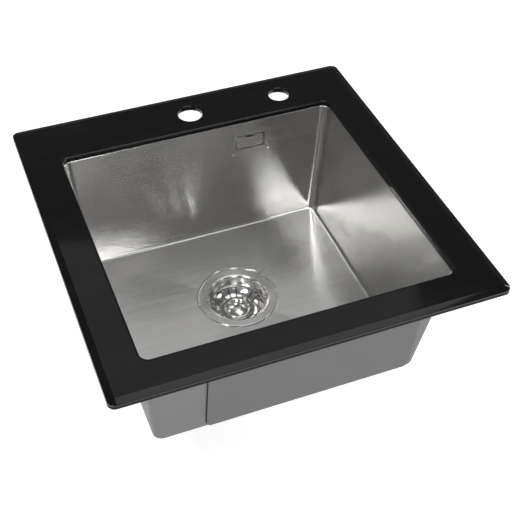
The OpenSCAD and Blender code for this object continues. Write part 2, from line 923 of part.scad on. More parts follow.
// Ring of points round the middle line
function hose_ring(s, r) =
    let (p = hose_at(s))
    [for (i = [0 : hose_sides - 1])
        let (
            a = 360 * (i + 0.5) / hose_sides,
            side = r * cos(a),
            up = r * sin(a),
            out = p[0] - up * sin(p[2]),
            z = p[1] + up * cos(p[2])
        )
        [out * cos(hose_angle) - side * sin(hose_angle),
            waste_y + out * sin(hose_angle) + side * cos(hose_angle), z]];

// Places and radii of the outer rings: a cuff, the ribs and a cuff
hose_outer = concat(
    [[0, cuff_r], [cuff_len - rib_pitch / 4, cuff_r]],
    [for (i = [0 : rib_count - 1], k = [0, 1])
        [cuff_len + rib_span * (i + 0.25 + k / 2) / rib_count, k == 0 ? hose_r : hose_valley_r]],
    [[hose_len - cuff_len + rib_pitch / 4, cuff_r], [hose_len, cuff_r]]
);
// Places of the bore's rings: its straight runs need none between their ends
bore_steps = 12;
hose_bore = concat(
    [0],
    [for (i = [0 : bore_steps]) run_down + run_bend * i / bore_steps],
    [hose_len]
);

module overflow_hose() {
    n = hose_sides;
    // A ring of flats lies inside its circle, so the bore's corners stand out to clear the spigot
    flat = 1 / cos(180 / n);
    outer = [for (p = hose_outer) each hose_ring(p[0], p[1] * flat)];
    bore = [for (s = hose_bore) each hose_ring(s, hose_bore_r * flat)];
    n_out = len(hose_outer);
    n_in = len(hose_bore);
    base = len(outer);
    sides_out = [for (k = [0 : n_out - 2], i = [0 : n - 1])
        let (a = k * n + i, b = k * n + (i + 1) % n)
        each [[a, b, b + n], [a, b + n, a + n]]];
    sides_in = [for (k = [0 : n_in - 2], i = [0 : n - 1])
        let (a = base + k * n + i, b = base + k * n + (i + 1) % n)
        each [[a, b + n, b], [a, a + n, b + n]]];
    first = [for (i = [0 : n - 1])
        let (a = i, b = (i + 1) % n)
        each [[a, base + a, base + b], [a, base + b, b]]];
    last = [for (i = [0 : n - 1])
        let (a = (n_out - 1) * n + i, b = (n_out - 1) * n + (i + 1) % n,
            c = base + (n_in - 1) * n + i, d = base + (n_in - 1) * n + (i + 1) % n)
        each [[a, d, c], [a, b, d]]];
    color(plastic_colour)
        polyhedron(points = concat(outer, bore), faces = concat(sides_out, sides_in, first, last));
}

// Band clamp with its screw lug, on an axis along z
module band_clamp() {
    in_r = cuff_r / cos(180 / hose_sides) + clamp_gap;
    ring(in_r + clamp_t, in_r, clamp_w);
    difference() {
        translate([in_r, -clamp_lug / 2, 0])
            cube([clamp_lug, clamp_lug, clamp_w]);
        translate([in_r + clamp_lug - clamp_bolt_d, clamp_lug, clamp_w / 2])
            rotate([90, 0, 0])
                cylinder(d = clamp_bolt_d, h = 2 * clamp_lug);
        translate([0, 0, -eps])
            cylinder(r = in_r, h = clamp_w + 2 * eps);
    }
}

module hose_clamps() {
    color(zinc_colour) {
        translate([overflow_x, hose_y, hose_top_z + spigot_len / 2 - clamp_w / 2])
            rotate(hose_angle)
                band_clamp();
        on_branch()
            translate([0, 0, branch_reach + spigot_len / 2 - clamp_w / 2])
                rotate(90)
                    band_clamp();
    }
}

// Frame of a clip: z is the screw's axis, x points to where the claw grips
module on_clip(i, z) {
    translate([clip_places[i][0], clip_places[i][1], z])
        rotate(clip_places[i][2])
            children();
}

module clip_brackets() {
    leg_x = bracket_l / 2 - bracket_foot;
    color(zinc_colour)
        for (i = [0 : len(clip_places) - 1])
            on_clip(i, web_low_z)
                rotate(90)
                    difference() {
                        union() {
                            for (side = [-1, 1]) {
                                translate([side * (leg_x + bracket_foot / 2), 0, bracket_h - bracket_t / 2])
                                    cube([bracket_foot, bracket_w, bracket_t], center = true);
                                translate([side * (leg_x - bracket_t / 2), 0, bracket_h / 2])
                                    cube([bracket_t, bracket_w, bracket_h], center = true);
                            }
                            translate([0, 0, bracket_t / 2])
                                cube([2 * leg_x, bracket_w, bracket_t], center = true);
                        }
                        translate([0, 0, -eps])
                            cylinder(r = screw_r + run_fit, h = bracket_t + 2 * eps);
                    }
}

module clip_screw(i) {
    cap_z = web_low_z + bracket_t + screw_rest;
    color(zinc_colour)
        on_clip(i, 0)
            difference() {
                union() {
                    translate([0, 0, screw_low_z - eps])
                        cylinder(r = screw_r, h = cap_z - screw_low_z + 2 * eps);
                    translate([0, 0, cap_z])
                        cylinder(r = screw_cap_r, h = screw_cap_h);
                    translate([0, 0, screw_low_z - screw_head_h])
                        cylinder(r = screw_head_r, h = screw_head_h);
                }
                translate([0, 0, screw_low_z - screw_head_h])
                    for (turn = [0, 90])
                        rotate(turn)
                            cube([2 * screw_r, screw_r / 2, screw_head_h], center = true);
            }
}

module clip_nut(i) {
    bore_r = screw_r + run_fit;
    color(zinc_colour)
        on_clip(i, nut_low_z)
            rotate_extrude()
                polygon([
                    [bore_r, 0], [clip_nut_flange_r, 0], [clip_nut_flange_r, clip_nut_flange_h],
                    [clip_boss_r, clip_nut_flange_h], [clip_boss_r, clip_nut_h - clip_nut_lip_h],
                    [clip_nut_lip_r, clip_nut_h - clip_nut_lip_h], [clip_nut_lip_r, clip_nut_h],
                    [bore_r, clip_nut_h]
                ]);
}

// At rest a claw lies along the rim; it swings out by a quarter turn to grip
module clip_claw(i) {
    hub_h = clip_nut_h - clip_nut_flange_h - clip_nut_lip_h - 2 * claw_play;
    color(zinc_colour)
        on_clip(i, nut_low_z + clip_nut_flange_h + claw_play)
            rotate(90)
                difference() {
                    union() {
                        cylinder(r = claw_hub_r, h = hub_h);
                        translate([claw_start, -claw_w / 2, 0])
                            cube([claw_reach - claw_start, claw_w, claw_plate]);
                        for (side = [-1, 1])
                            translate([0, side * (claw_w - claw_cheek) / 2 + claw_cheek / 2, 0])
                                rotate([90, 0, 0])
                                    linear_extrude(claw_cheek)
                                        polygon([
                                            [claw_start, 0], [claw_reach, 0], [claw_reach, claw_tooth_h],
                                            [claw_reach - claw_tooth_w / 2, claw_tooth_h - claw_notch],
                                            [claw_reach - claw_tooth_w, claw_tooth_h],
                                            [claw_reach - claw_tooth_w * 3 / 2, claw_root_h],
                                            [claw_neck_x, hub_h], [claw_start, hub_h]
                                        ]);
                    }
                    translate([0, 0, -eps])
                        cylinder(r = clip_boss_r + run_fit, h = claw_tooth_h);
                }
}

glass_top();
glass_bond();
worktop_seal();
bowl();
sound_pad_front();
sound_pad_base();
flange_gasket();
strainer_flange();
lower_gasket();
waste_body();
strainer_bolt();
strainer_bolt_nut();
basket_cup();
basket_stopper();
basket_seal();
basket_stem();
basket_knob();
overflow_gasket();
overflow_housing();
overflow_carrier();
overflow_screws();
overflow_cover();
overflow_hose();
hose_clamps();
clip_brackets();
for (i = [0 : len(clip_places) - 1]) {
    clip_screw(i);
    clip_nut(i);
    clip_claw(i);
}
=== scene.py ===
# %% [markdown]
# # A kitchen sink with a glass top, seen as it lies on a shop's table
#
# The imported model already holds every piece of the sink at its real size: the black glass, the steel
# bowl, the strainer, the overflow with its hose and the clips below the rim. This file gives those
# pieces their looks. Shapes that the eye rests on are modelled again with finer rounds, and the other
# pieces keep their shape and get a finish.

# %% Load the fixed frame
import json
import math

import bmesh
import bpy
from mathutils import Matrix, Vector


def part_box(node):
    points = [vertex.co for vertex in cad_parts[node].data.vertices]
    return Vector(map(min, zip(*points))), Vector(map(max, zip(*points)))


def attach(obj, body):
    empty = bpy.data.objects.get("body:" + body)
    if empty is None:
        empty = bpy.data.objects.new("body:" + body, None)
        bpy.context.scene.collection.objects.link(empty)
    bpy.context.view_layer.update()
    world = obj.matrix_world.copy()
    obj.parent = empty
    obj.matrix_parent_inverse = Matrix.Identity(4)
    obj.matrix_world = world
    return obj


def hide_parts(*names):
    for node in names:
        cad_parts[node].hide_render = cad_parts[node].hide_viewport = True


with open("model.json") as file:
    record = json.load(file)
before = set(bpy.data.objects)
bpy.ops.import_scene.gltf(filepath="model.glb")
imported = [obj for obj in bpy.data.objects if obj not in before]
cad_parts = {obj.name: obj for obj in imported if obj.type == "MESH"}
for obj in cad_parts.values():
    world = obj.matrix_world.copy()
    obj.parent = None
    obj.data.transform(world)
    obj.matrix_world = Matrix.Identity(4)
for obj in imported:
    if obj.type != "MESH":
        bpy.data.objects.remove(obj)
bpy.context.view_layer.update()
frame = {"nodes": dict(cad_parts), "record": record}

# %% [markdown]
# ## The sizes that everything else follows
#
# All lengths are in metres. Most of them are read from the frame, so that a piece goes where the model
# says. The rest are the few sizes that a box doesn't tell, such as the radius of a corner.

# %% Read the places from the frame
glass_low, glass_high = (Vector(corner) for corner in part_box("glass_top"))
bowl_low, bowl_high = (Vector(corner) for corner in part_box("bowl"))
flange_low, flange_high = (Vector(corner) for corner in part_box("strainer_flange"))
waste_x, waste_y = ((flange_low + flange_high) / 2).xy
glass_z, glass_top_z = glass_low.z, glass_high.z
rim_w, rim_d = glass_high.x - glass_low.x, glass_high.y - glass_low.y
flange_top_z = bowl_high.z
drain_z = flange_high.z
print("glass:", round(rim_w, 4), "by", round(rim_d, 4), "waste at", round(waste_x, 4), round(waste_y, 4))

# %% Sizes of the bowl and its opening
opening_w, opening_d, opening_y = 0.398, 0.378, -0.0185
opening_corner = 0.011
steel_ledge = 0.0006
sheet = 0.001
bowl_w, bowl_d = opening_w - 2 * steel_ledge, opening_d - 2 * steel_ledge
bowl_depth = 0.179
draft, left_draft, right_draft = 0.0195, 0.0124, 0.0208
floor_fall = 0.003
floor_z = flange_top_z - bowl_depth
lean = math.atan2(draft, bowl_depth)
bowl_corner = 0.012
print("the rear wall leans", round(math.degrees(lean), 2), "degrees; floor at", round(floor_z, 4))

# %% [markdown]
# ## Working by hand in code
#
# Every new piece starts as a primitive and is shaped in edit mode. An operator works on whatever is
# selected, so a few helpers do the picking: one opens a mesh with nothing or the whole selected, one
# picks the faces, edges or corners that pass a test, one rounds the edges it picks, one draws new faces
# out of what is picked, and two close the mesh again, one of them after turning all its faces outwards.

# %% Helpers for edit mode
def choose(piece):
    """Makes a piece the only selected object."""
    bpy.ops.object.select_all(action="DESELECT")
    piece.select_set(True)
    bpy.context.view_layer.objects.active = piece


def open_mesh(piece, kind, whole=False):
    """Opens a piece in edit mode, to pick VERT, EDGE or FACE, with nothing or the whole selected."""
    choose(piece)
    bpy.ops.object.mode_set(mode="EDIT")
    bpy.ops.mesh.select_mode(type=kind)
    bpy.ops.mesh.select_all(action="SELECT" if whole else "DESELECT")


def pick(piece, kind, test):
    """Selects what passes the test, which is given the middle of each part and the part itself."""
    bpy.ops.mesh.select_mode(type=kind)
    bpy.ops.mesh.select_all(action="DESELECT")
    mesh = bmesh.from_edit_mesh(piece.data)
    count = 0
    for part in {"VERT": mesh.verts, "EDGE": mesh.edges, "FACE": mesh.faces}[kind]:
        if kind == "VERT":
            middle = part.co
        elif kind == "EDGE":
            middle = (part.verts[0].co + part.verts[1].co) / 2
        else:
            middle = part.calc_center_median()
        if test(middle, part):
            part.select_set(True)
            count += 1
    mesh.select_flush_mode()
    bmesh.update_edit_mesh(piece.data)
    return count


def close_mesh():
    bpy.ops.object.mode_set(mode="OBJECT")
    bpy.ops.object.select_all(action="DESELECT")


def round_edges(piece, title, test, radius, segments, **options):
    """Rounds the edges that pass the test, and tells how many they were."""
    print(title, pick(piece, "EDGE", test))
    bpy.ops.mesh.bevel(offset=radius, segments=segments, affect="EDGES", **options)


def push(way):
    """Draws new faces or edges out of what is selected."""
    bpy.ops.mesh.extrude_region_move(TRANSFORM_OT_translate={"value": way})


def face_out():
    """Turns all faces of the open mesh outwards and closes it."""
    bpy.ops.mesh.select_all(action="SELECT")
    bpy.ops.mesh.normals_make_consistent(inside=False)
    close_mesh()


def near(a, b, slack=0.00005):
    return abs(a - b) < slack


def disc_at(height, sides=8):
    """A test for a level face at a height that has more corners than a few."""
    return lambda middle, face: near(middle.z, height) and len(face.verts) > sides


def rounded(values):
    return [round(value, 4) for value in values]

# %% Helpers for starting and ending a piece
def settle(piece):
    """Puts a piece's place, turn and scale into its mesh."""
    choose(piece)
    bpy.ops.object.transform_apply(location=True, rotation=True, scale=True)


def start_plane(name, width, depth, middle):
    """A flat sheet of the given size, facing up."""
    bpy.ops.object.select_all(action="DESELECT")
    bpy.ops.mesh.primitive_plane_add(size=1, location=middle)
    piece = bpy.context.active_object
    piece.name = piece.data.name = name
    piece.scale = (width, depth, 1)
    settle(piece)
    return piece


def start_disc(name, radius, middle):
    """A flat disc, facing up."""
    bpy.ops.object.select_all(action="DESELECT")
    bpy.ops.mesh.primitive_circle_add(vertices=96, radius=radius, fill_type="NGON", location=middle)
    piece = bpy.context.active_object
    piece.name = piece.data.name = name
    settle(piece)
    return piece


def finish_modifiers(piece):
    """Applies a piece's modifiers in their order."""
    choose(piece)
    for modifier in list(piece.modifiers):
        bpy.ops.object.modifier_apply(modifier=modifier.name)


def join(pieces):
    """Makes one object of several and returns it."""
    bpy.ops.object.select_all(action="DESELECT")
    for piece in pieces:
        piece.select_set(True)
    bpy.context.view_layer.objects.active = pieces[0]
    if len(pieces) > 1:
        bpy.ops.object.join()
    return pieces[0]


def cut_away(piece, tools):
    """Takes the tools' volumes out of a piece."""
    tool = join(tools)
    cut = piece.modifiers.new("cut", "BOOLEAN")
    cut.operation = "DIFFERENCE"
    cut.solver = "EXACT"
    cut.object = tool
    finish_modifiers(piece)
    bpy.data.objects.remove(tool, do_unlink=True)


def smooth_faces(piece, angle=30):
    """Smooth shading up to an angle, with large faces deciding how their rounds are shaded."""
    choose(piece)
    bpy.ops.object.shade_smooth_by_angle(angle=math.radians(angle))
    weighted = piece.modifiers.new("weighted", "WEIGHTED_NORMAL")
    weighted.keep_sharp = True
    weighted.weight = 80
    bpy.ops.object.modifier_apply(modifier=weighted.name)


def round_outline(piece, radius, cuts=0):
    """Rounds the corners of a flat sheet, and divides its long sides evenly."""
    open_mesh(piece, "VERT", whole=True)
    bpy.ops.mesh.bevel(offset=radius, segments=8, affect="VERTICES", offset_type="OFFSET")
    if cuts:
        pick(piece, "EDGE", lambda middle, edge: edge.calc_length() > 2 * radius)
        bpy.ops.mesh.subdivide(number_cuts=cuts)
    close_mesh()


def turn_profile(piece, middle, radius, steps):
    """Grows a disc into a turned shape: each step gives the next radius and height of its cap."""
    height = middle[2]
    open_mesh(piece, "FACE")
    pick(piece, "FACE", disc_at(height))
    for next_radius, next_height in steps:
        bpy.ops.mesh.extrude_region_move()
        share = next_radius / radius
        bpy.ops.transform.resize(value=(share, share, 1), center_override=middle)
        bpy.ops.transform.translate(value=(0, 0, next_height - height))
        radius, height = next_radius, next_height
    close_mesh()

# %% [markdown]
# ## The camera first
#
# The camera stands where the picture was taken from: to the left of the sink's front, about 45 degrees
# up and a little over a metre away. Its place and lens were worked out from the sink's own straight
# edges, so the render and the picture can be laid over each other.

# %% Place the camera
picture_size = 517
focal_pixels = 990.3
azimuth, elevation, roll = math.radians(-21.183), math.radians(44.550), math.radians(0.525)
distance = 1.21563
target = Vector((-0.04041, -0.09338, 0.0094))
picture_middle_x = 238.5


def direction(turn, height):
    """The way to a place turned from the front to the right and raised, both in radians."""
    return Vector((math.sin(turn) * math.cos(height), -math.cos(turn) * math.cos(height), math.sin(height)))


back = direction(azimuth, elevation)
level_right = Vector((math.cos(azimuth), math.sin(azimuth), 0))
level_up = back.cross(level_right)
right = level_right * math.cos(roll) + level_up * math.sin(roll)
up = level_up * math.cos(roll) - level_right * math.sin(roll)

camera_data = bpy.data.cameras.new("camera")
camera = bpy.data.objects.new("camera", camera_data)
bpy.context.scene.collection.objects.link(camera)
camera_data.sensor_width = 36
camera_data.lens = focal_pixels / picture_size * camera_data.sensor_width
camera_data.shift_x = (picture_size / 2 - picture_middle_x) / picture_size
camera_data.clip_start = 0.01
turn = Matrix((right, up, back)).transposed().to_4x4()
camera.matrix_world = Matrix.Translation(target + back * distance) @ turn
bpy.context.scene.camera = camera
print("camera at", rounded(target + back * distance), "lens", round(camera_data.lens, 2))

# %% [markdown]
# ## The bowl
#
# The real bowl is one steel sheet, folded up with small corner rounds and welded to its flange. By
# hand it starts as a flat sheet of the opening's size. Its corners are rounded, it is pushed down and
# drawn in to the floor, and the floor's edge is rounded. The floor falls to the waste in four planes
# that meet in creases, so the floor is split to one point, the point is moved below the waste, and
# rounding that one point off gives the circle in which the strainer lies.

# %% Walls and floor
bowl = start_plane("bowl_shell", bowl_w, bowl_d, (0, opening_y, flange_top_z))
round_outline(bowl, bowl_corner, cuts=23)
open_mesh(bowl, "FACE", whole=True)
push((0, 0, -bowl_depth))
floor_w, floor_d = bowl_w - left_draft - right_draft, bowl_d - 2 * draft
floor_share = (floor_w / bowl_w, floor_d / bowl_d, 1)
bpy.ops.transform.resize(value=floor_share, center_override=(0, opening_y, floor_z))
bpy.ops.transform.translate(value=((left_draft - right_draft) / 2, 0, 0))
close_mesh()
print("floor:", round(floor_w, 4), "by", round(floor_d, 4))

# %% Fall of the floor, and the circle round the waste
recess_r, recess_depth = 0.0585, 0.0015
hole_r = 0.045
seat_z = drain_z - recess_depth
open_mesh(bowl, "FACE")
pick(bowl, "FACE", disc_at(floor_z))
bpy.ops.mesh.poke()
pick(bowl, "VERT", lambda middle, vert: near(middle.z, floor_z) and len(vert.link_faces) > 8)
side_share = recess_r / (floor_w / 2)
apex_z = floor_z - floor_fall / (1 - side_share)
apex = [vert.co.copy() for vert in bmesh.from_edit_mesh(bowl.data).verts if vert.select][0]
bpy.ops.transform.translate(value=(waste_x - apex.x, waste_y - apex.y, apex_z - apex.z))
bpy.ops.mesh.bevel(
    offset=recess_r, segments=1, affect="VERTICES", offset_type="ABSOLUTE", clamp_overlap=False)


def in_circle(middle, face):
    return len(face.verts) > 20 and middle.z < floor_z - 0.0005


print("faces in the circle:", pick(bowl, "FACE", in_circle))
close_mesh()
print("fall of the floor at its middle:", round(floor_z - apex_z, 5))

# %% Recess and hole for the strainer
open_mesh(bowl, "FACE")
pick(bowl, "FACE", in_circle)
bpy.ops.mesh.extrude_region_move()
bpy.ops.transform.resize(value=(1, 1, 0), center_override=(waste_x, waste_y, seat_z))
bpy.ops.mesh.inset(thickness=recess_r - hole_r)
bpy.ops.mesh.delete(type="FACE")
close_mesh()

# %% Round the floor's edge and the recess's edges
floor_round, recess_round = 0.0045, 0.0007
open_mesh(bowl, "EDGE")


def on_floor_edge(middle, edge):
    return all(near(vert.co.z, floor_z) for vert in edge.verts) and abs(middle.x) + abs(middle.y) > 0.1


def on_recess_edge(middle, edge):
    low, high = (vert.co.z for vert in edge.verts)
    reach = math.hypot(middle.x - waste_x, middle.y - waste_y)
    return near(reach, recess_r, 0.0004) and near(low, high, 0.0004)


round_edges(bowl, "edges rounded at the floor:", on_floor_edge, floor_round, 5, clamp_overlap=False)
round_edges(bowl, "edges rounded at the recess:", on_recess_edge, recess_round, 3)
close_mesh()

# %% [markdown]
# The overflow sits in a shallow pressed field of the rear wall. The rear wall is made one flat face
# again, four cuts mark the field, and the field is pushed back and its edges are rounded.

# %% Pressed field of the overflow
overflow_x, overflow_z = 0.077, -0.0304
field_w, field_h, field_corner, field_depth = 0.061, 0.036, 0.004, 0.0016
field_round = 0.0009
window_w, window_h = 0.0452, 0.0212
wall_up = Vector((0, math.sin(lean), math.cos(lean)))
wall_out = Vector((0, math.cos(lean), -math.sin(lean)))
wall_y = opening_y + bowl_d / 2 - draft * (flange_top_z - overflow_z) / bowl_depth
field_middle = Vector((overflow_x, wall_y, overflow_z))


def on_wall(point):
    """A point's place in the rear wall: to the right, up and out of the bowl."""
    offset = Vector(point) - field_middle
    return Vector((offset.x, offset.dot(wall_up), offset.dot(wall_out)))


def in_wall(right_by, up_by, out_by=0.0):
    """The place of a point that is given in the rear wall's own directions."""
    return field_middle + Vector((right_by, 0, 0)) + wall_up * up_by + wall_out * out_by


def on_rear_wall(middle, face):
    return near(on_wall(middle).z, 0, 0.0001) and face.normal.y < -0.9


def cut_rear_wall(right_by, up_by, normal):
    pick(bowl, "FACE", on_rear_wall)
    bpy.ops.mesh.bisect(plane_co=in_wall(right_by, up_by), plane_no=normal)


open_mesh(bowl, "FACE")
pick(bowl, "FACE", on_rear_wall)
bpy.ops.mesh.dissolve_faces()
for side in (-1, 1):
    cut_rear_wall(side * field_w / 2, 0, (1, 0, 0))
    cut_rear_wall(0, side * field_h / 2, wall_up)


def in_field(middle, part):
    place = on_wall(middle)
    return abs(place.x) < field_w / 2 and abs(place.y) < field_h / 2 and near(place.z, 0, 0.0001)


print("faces in the field:", pick(bowl, "FACE", in_field))
push(wall_out * field_depth)
close_mesh()

# %% Corners and edges of the field, and the window in it
open_mesh(bowl, "EDGE")


def on_field_corner(middle, edge):
    place = on_wall(middle)
    at_corner = near(abs(place.x), field_w / 2) and near(abs(place.y), field_h / 2)
    return at_corner and near(place.z, field_depth / 2)


def on_field_floor(middle, face):
    place = on_wall(middle)
    return near(place.z, field_depth, 0.0001) and near(place.x, 0, 0.001)


def on_field_rim(middle, edge):
    places = [on_wall(vert.co) for vert in edge.verts]
    level = all(near(place.z, 0, 0.00002) for place in places)
    reach_x, reach_y = field_w / 2 + 0.0001, field_h / 2 + 0.0001
    inside = all(abs(place.x) < reach_x and abs(place.y) < reach_y for place in places)
    return level and inside and len(edge.link_faces) == 2


round_edges(bowl, "corner edges:", on_field_corner, field_corner, 6)
print("field faces:", pick(bowl, "FACE", on_field_floor))
bpy.ops.mesh.extrude_region_move()
window_share = (window_w / field_w, window_h / field_h, window_h / field_h)
bpy.ops.transform.resize(value=window_share, center_override=in_wall(0, 0, field_depth))
bpy.ops.mesh.delete(type="FACE")
round_edges(bowl, "rim edges:", on_field_rim, field_round, 3)
close_mesh()

# %% [markdown]
# The flange that the glass is glued to runs out from the bowl's upper edge. A narrow strip is drawn
# out of that edge first, so that the fold can be rounded evenly. The flange's outline is a second flat
# sheet, and filling between the strip and the outline closes the flange.

# %% Flange, thickness and upper edge
lip_w, lip_d, lip_corner = bowl_high.x - bowl_low.x, bowl_high.y - bowl_low.y, 0.006
strip, upper_round = 0.004, 0.0010


def open_upper_edge():
    """Takes the faces that close the bowl's mouth away, and picks the open edges there."""
    pick(bowl, "FACE", disc_at(flange_top_z, sides=20))
    bpy.ops.mesh.delete(type="ONLY_FACE")
    pick(bowl, "EDGE", lambda middle, edge: near(middle.z, flange_top_z) and len(edge.link_faces) < 2)


def on_upper_fold(middle, edge):
    steep = len(edge.link_faces) == 2 and abs(edge.calc_face_angle_signed(0)) > 1
    return near(middle.z, flange_top_z) and steep


open_mesh(bowl, "FACE")
open_upper_edge()
bpy.ops.mesh.extrude_edges_move()
strip_share = ((bowl_w + 2 * strip) / bowl_w, (bowl_d + 2 * strip) / bowl_d, 1)
bpy.ops.transform.resize(value=strip_share, center_override=(0, opening_y, flange_top_z))
close_mesh()
outline = start_plane("flange_outline", lip_w, lip_d, (0, (bowl_high.y + bowl_low.y) / 2, flange_top_z))
round_outline(outline, lip_corner)
bowl = join([bowl, outline])
open_mesh(bowl, "FACE")
open_upper_edge()
bpy.ops.mesh.fill(use_beauty=True)
round_edges(bowl, "upper edges:", on_upper_fold, upper_round, 4)
face_out()
upward = sum(face.area * face.normal.z for face in bowl.data.polygons)
if upward < 0:
    bowl.data.flip_normals()
print("bowl: faces", len(bowl.data.polygons), "upward area", round(upward, 4))

for side in ("bowl inside", "bowl outside"):
    bowl.data.materials.append(bpy.data.materials.new(side))
thickness = bowl.modifiers.new("sheet", "SOLIDIFY")
thickness.thickness = sheet
thickness.offset = -1
thickness.material_offset = 1
thickness.material_offset_rim = 1
finish_modifiers(bowl)

# %% Holes of the flange below the two holes in the glass
mounts = {mount["name"]: mount for mount in frame["record"]["mounts"]}
hole_y = mounts["tap_hole"]["pos_m"][1]
side_x = mounts["second_hole"]["pos_m"][0]
tap_r, side_r = (mounts[name]["dims"]["r_mm"] / 1000 for name in ("tap_hole", "second_hole"))
hole_clear = 0.001


def round_cutter(radius, middle, height, sides=64):
    bpy.ops.object.select_all(action="DESELECT")
    bpy.ops.mesh.primitive_cylinder_add(vertices=sides, radius=radius, depth=height, location=middle)
    return bpy.context.active_object


cut_away(bowl, [
    round_cutter(tap_r + hole_clear, (0, hole_y, flange_top_z), 0.01),
    round_cutter(side_r + hole_clear, (side_x, hole_y, flange_top_z), 0.01),
])
smooth_faces(bowl)

# %% Lay the grain out: the sheet was brushed before it was folded
open_mesh(bowl, "FACE", whole=True)
bpy.ops.uv.cube_project(cube_size=1.0)
close_mesh()
bowl.data.uv_layers.active.name = "grain"
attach(bowl, "sink")
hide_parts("bowl")
print("bowl box:", rounded(bowl.bound_box[0]), rounded(bowl.bound_box[6]))

# %% [markdown]
# ## The glass top
#
# The glass is a slab with a ground bevel all round, an opening for the bowl and two round holes. The
# slab is pushed up in two steps, the upper one drawn in by the bevel. The openings are cut with tools
# that flare at their mouth, which leaves the ground chamfer round each opening.

# %% Slab with its bevel
bevel_w, bevel_drop, rim_corner = 0.0088, 0.00265, 0.009
glass = start_plane("glass_plate", rim_w, rim_d, (0, 0, glass_z))
round_outline(glass, rim_corner)
open_mesh(glass, "FACE", whole=True)
push((0, 0, glass_top_z - glass_z - bevel_drop))
bpy.ops.mesh.inset(thickness=bevel_w)
bpy.ops.transform.translate(value=(0, 0, bevel_drop))
face_out()

# %% Openings in the glass, each with a flared mouth
arris_w, arris_drop = 0.0024, 0.0008
above, through = 0.001, 0.01


def flared_window():
    """The tool for the bowl's opening: wide above the glass, drawn in over the chamfer, then straight."""
    mouth = (0, opening_y, glass_top_z + above)
    tool = start_plane("window_tool", opening_w + 2 * arris_w, opening_d + 2 * arris_w, mouth)
    round_outline(tool, opening_corner + arris_w)
    open_mesh(tool, "FACE", whole=True)
    push((0, 0, -above))
    bpy.ops.mesh.inset(thickness=arris_w)
    bpy.ops.transform.translate(value=(0, 0, -arris_drop))
    push((0, 0, -through))
    face_out()
    return tool


def flared_hole(radius, x):
    """The tool for one round hole, grown from a disc below the glass up through its flared mouth."""
    start = (x, hole_y, glass_z - 0.002)
    tool = start_disc("hole_tool", radius, start)
    mouth_r = radius + arris_w
    steps = [(radius, glass_top_z - arris_drop), (mouth_r, glass_top_z), (mouth_r, glass_top_z + above)]
    turn_profile(tool, start, radius, steps)
    open_mesh(tool, "FACE")
    face_out()
    return tool


cut_away(glass, [flared_window(), flared_hole(tap_r, 0), flared_hole(side_r, side_x)])
print("glass with its openings:", len(glass.data.polygons), "faces")

# %% Soft edges on the bevel and the chamfers
bevel_round, arris_round, band_w = 0.0004, 0.0003, 0.02


def is_level_bend(edge, angle):
    """Whether an edge lies level and its two faces turn by more than an angle there."""
    level = near(edge.verts[0].co.z, edge.verts[1].co.z)
    return level and len(edge.link_faces) == 2 and abs(edge.calc_face_angle_signed(0)) > angle


def on_outer_edge(middle, edge):
    outer = abs(middle.x) > rim_w / 2 - bevel_w - 0.001 or abs(middle.y) > rim_d / 2 - bevel_w - 0.001
    return outer and is_level_bend(edge, 0.15)


def on_opening_edge(middle, edge):
    inner = abs(middle.x) < rim_w / 2 - band_w and abs(middle.y) < rim_d / 2 - band_w
    return inner and middle.z > glass_top_z - arris_drop - 0.0001 and is_level_bend(edge, 0.1)


open_mesh(glass, "EDGE")
round_edges(glass, "outer edges:", on_outer_edge, bevel_round, 2)
round_edges(glass, "opening edges:", on_opening_edge, arris_round, 2)
close_mesh()
smooth_faces(glass, angle=20)
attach(glass, "sink")
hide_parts("glass_top")
print("glass: faces", len(glass.data.polygons))

# %% [markdown]
# ## The strainer
#
# The strainer's flange, its basket and its knob are all turned pieces. A turned piece is grown from a
# disc: its cap is pushed to each next radius and height of the profile, as on a potter's wheel.

# %% Flange of the strainer
def turned_piece(name, radius, height, steps):
    """A piece that is turned round the waste's middle, from a disc at a height through the steps."""
    piece = start_disc(name, radius, (waste_x, waste_y, height))
    turn_profile(piece, (waste_x, waste_y, height), radius, steps)
    return piece


def offsets(radius, height, *moves):
    """Steps of a profile, each given by how far it lies out from a radius and up from a height."""
    return [(radius + out, height + up) for out, up in moves]


def round_waste(radius, turn, height):
    """A place at a distance and a turn from the waste's middle."""
    return waste_x + radius * math.cos(turn), waste_y + radius * math.sin(turn), height


def turns(count, start=0.0):
    """Evenly spread turns, all round."""
    return [start + 2 * math.pi * index / count for index in range(count)]


flange_r, throat_r, seat_in_r, cup_in_r = 0.0565, 0.0415, 0.0403, 0.0373
rest_z, cup_floor_z = drain_z - 0.014, drain_z - 0.044
round_r, dish, ring_sheet = 0.004, 0.0003, 0.001
steps = offsets(flange_r, drain_z, (0, -0.0005), (-0.00025, -0.0002), (-0.0006, 0), (-0.0015, 0))
for index in range(9):
    turn = math.radians(90 + 90 * index / 8)
    out, down = round_r * (1 + math.cos(turn)), round_r * (1 - math.sin(turn))
    steps.append((throat_r + out, drain_z - dish - down))
steps += offsets(seat_in_r, rest_z, (0, 0), (-0.0003, -0.0003), (cup_in_r - seat_in_r, -0.0003))
steps += offsets(cup_in_r, cup_floor_z, (0, 0.003), (-0.001, 0.001), (-0.003, 0))
strainer = turned_piece("strainer_ring", flange_r, drain_z - ring_sheet, steps)


def open_disc(piece, height):
    """Takes away the disc at a height: the one a turned piece was started from, or its last cap."""
    open_mesh(piece, "FACE")
    pick(piece, "FACE", disc_at(height))
    bpy.ops.mesh.delete(type="ONLY_FACE")
    close_mesh()


def thicken(piece, thickness):
    """Gives a sheet its thickness on the side that its faces turn away from."""
    wall = piece.modifiers.new("wall", "SOLIDIFY")
    wall.thickness = thickness
    wall.offset = -1
    finish_modifiers(piece)


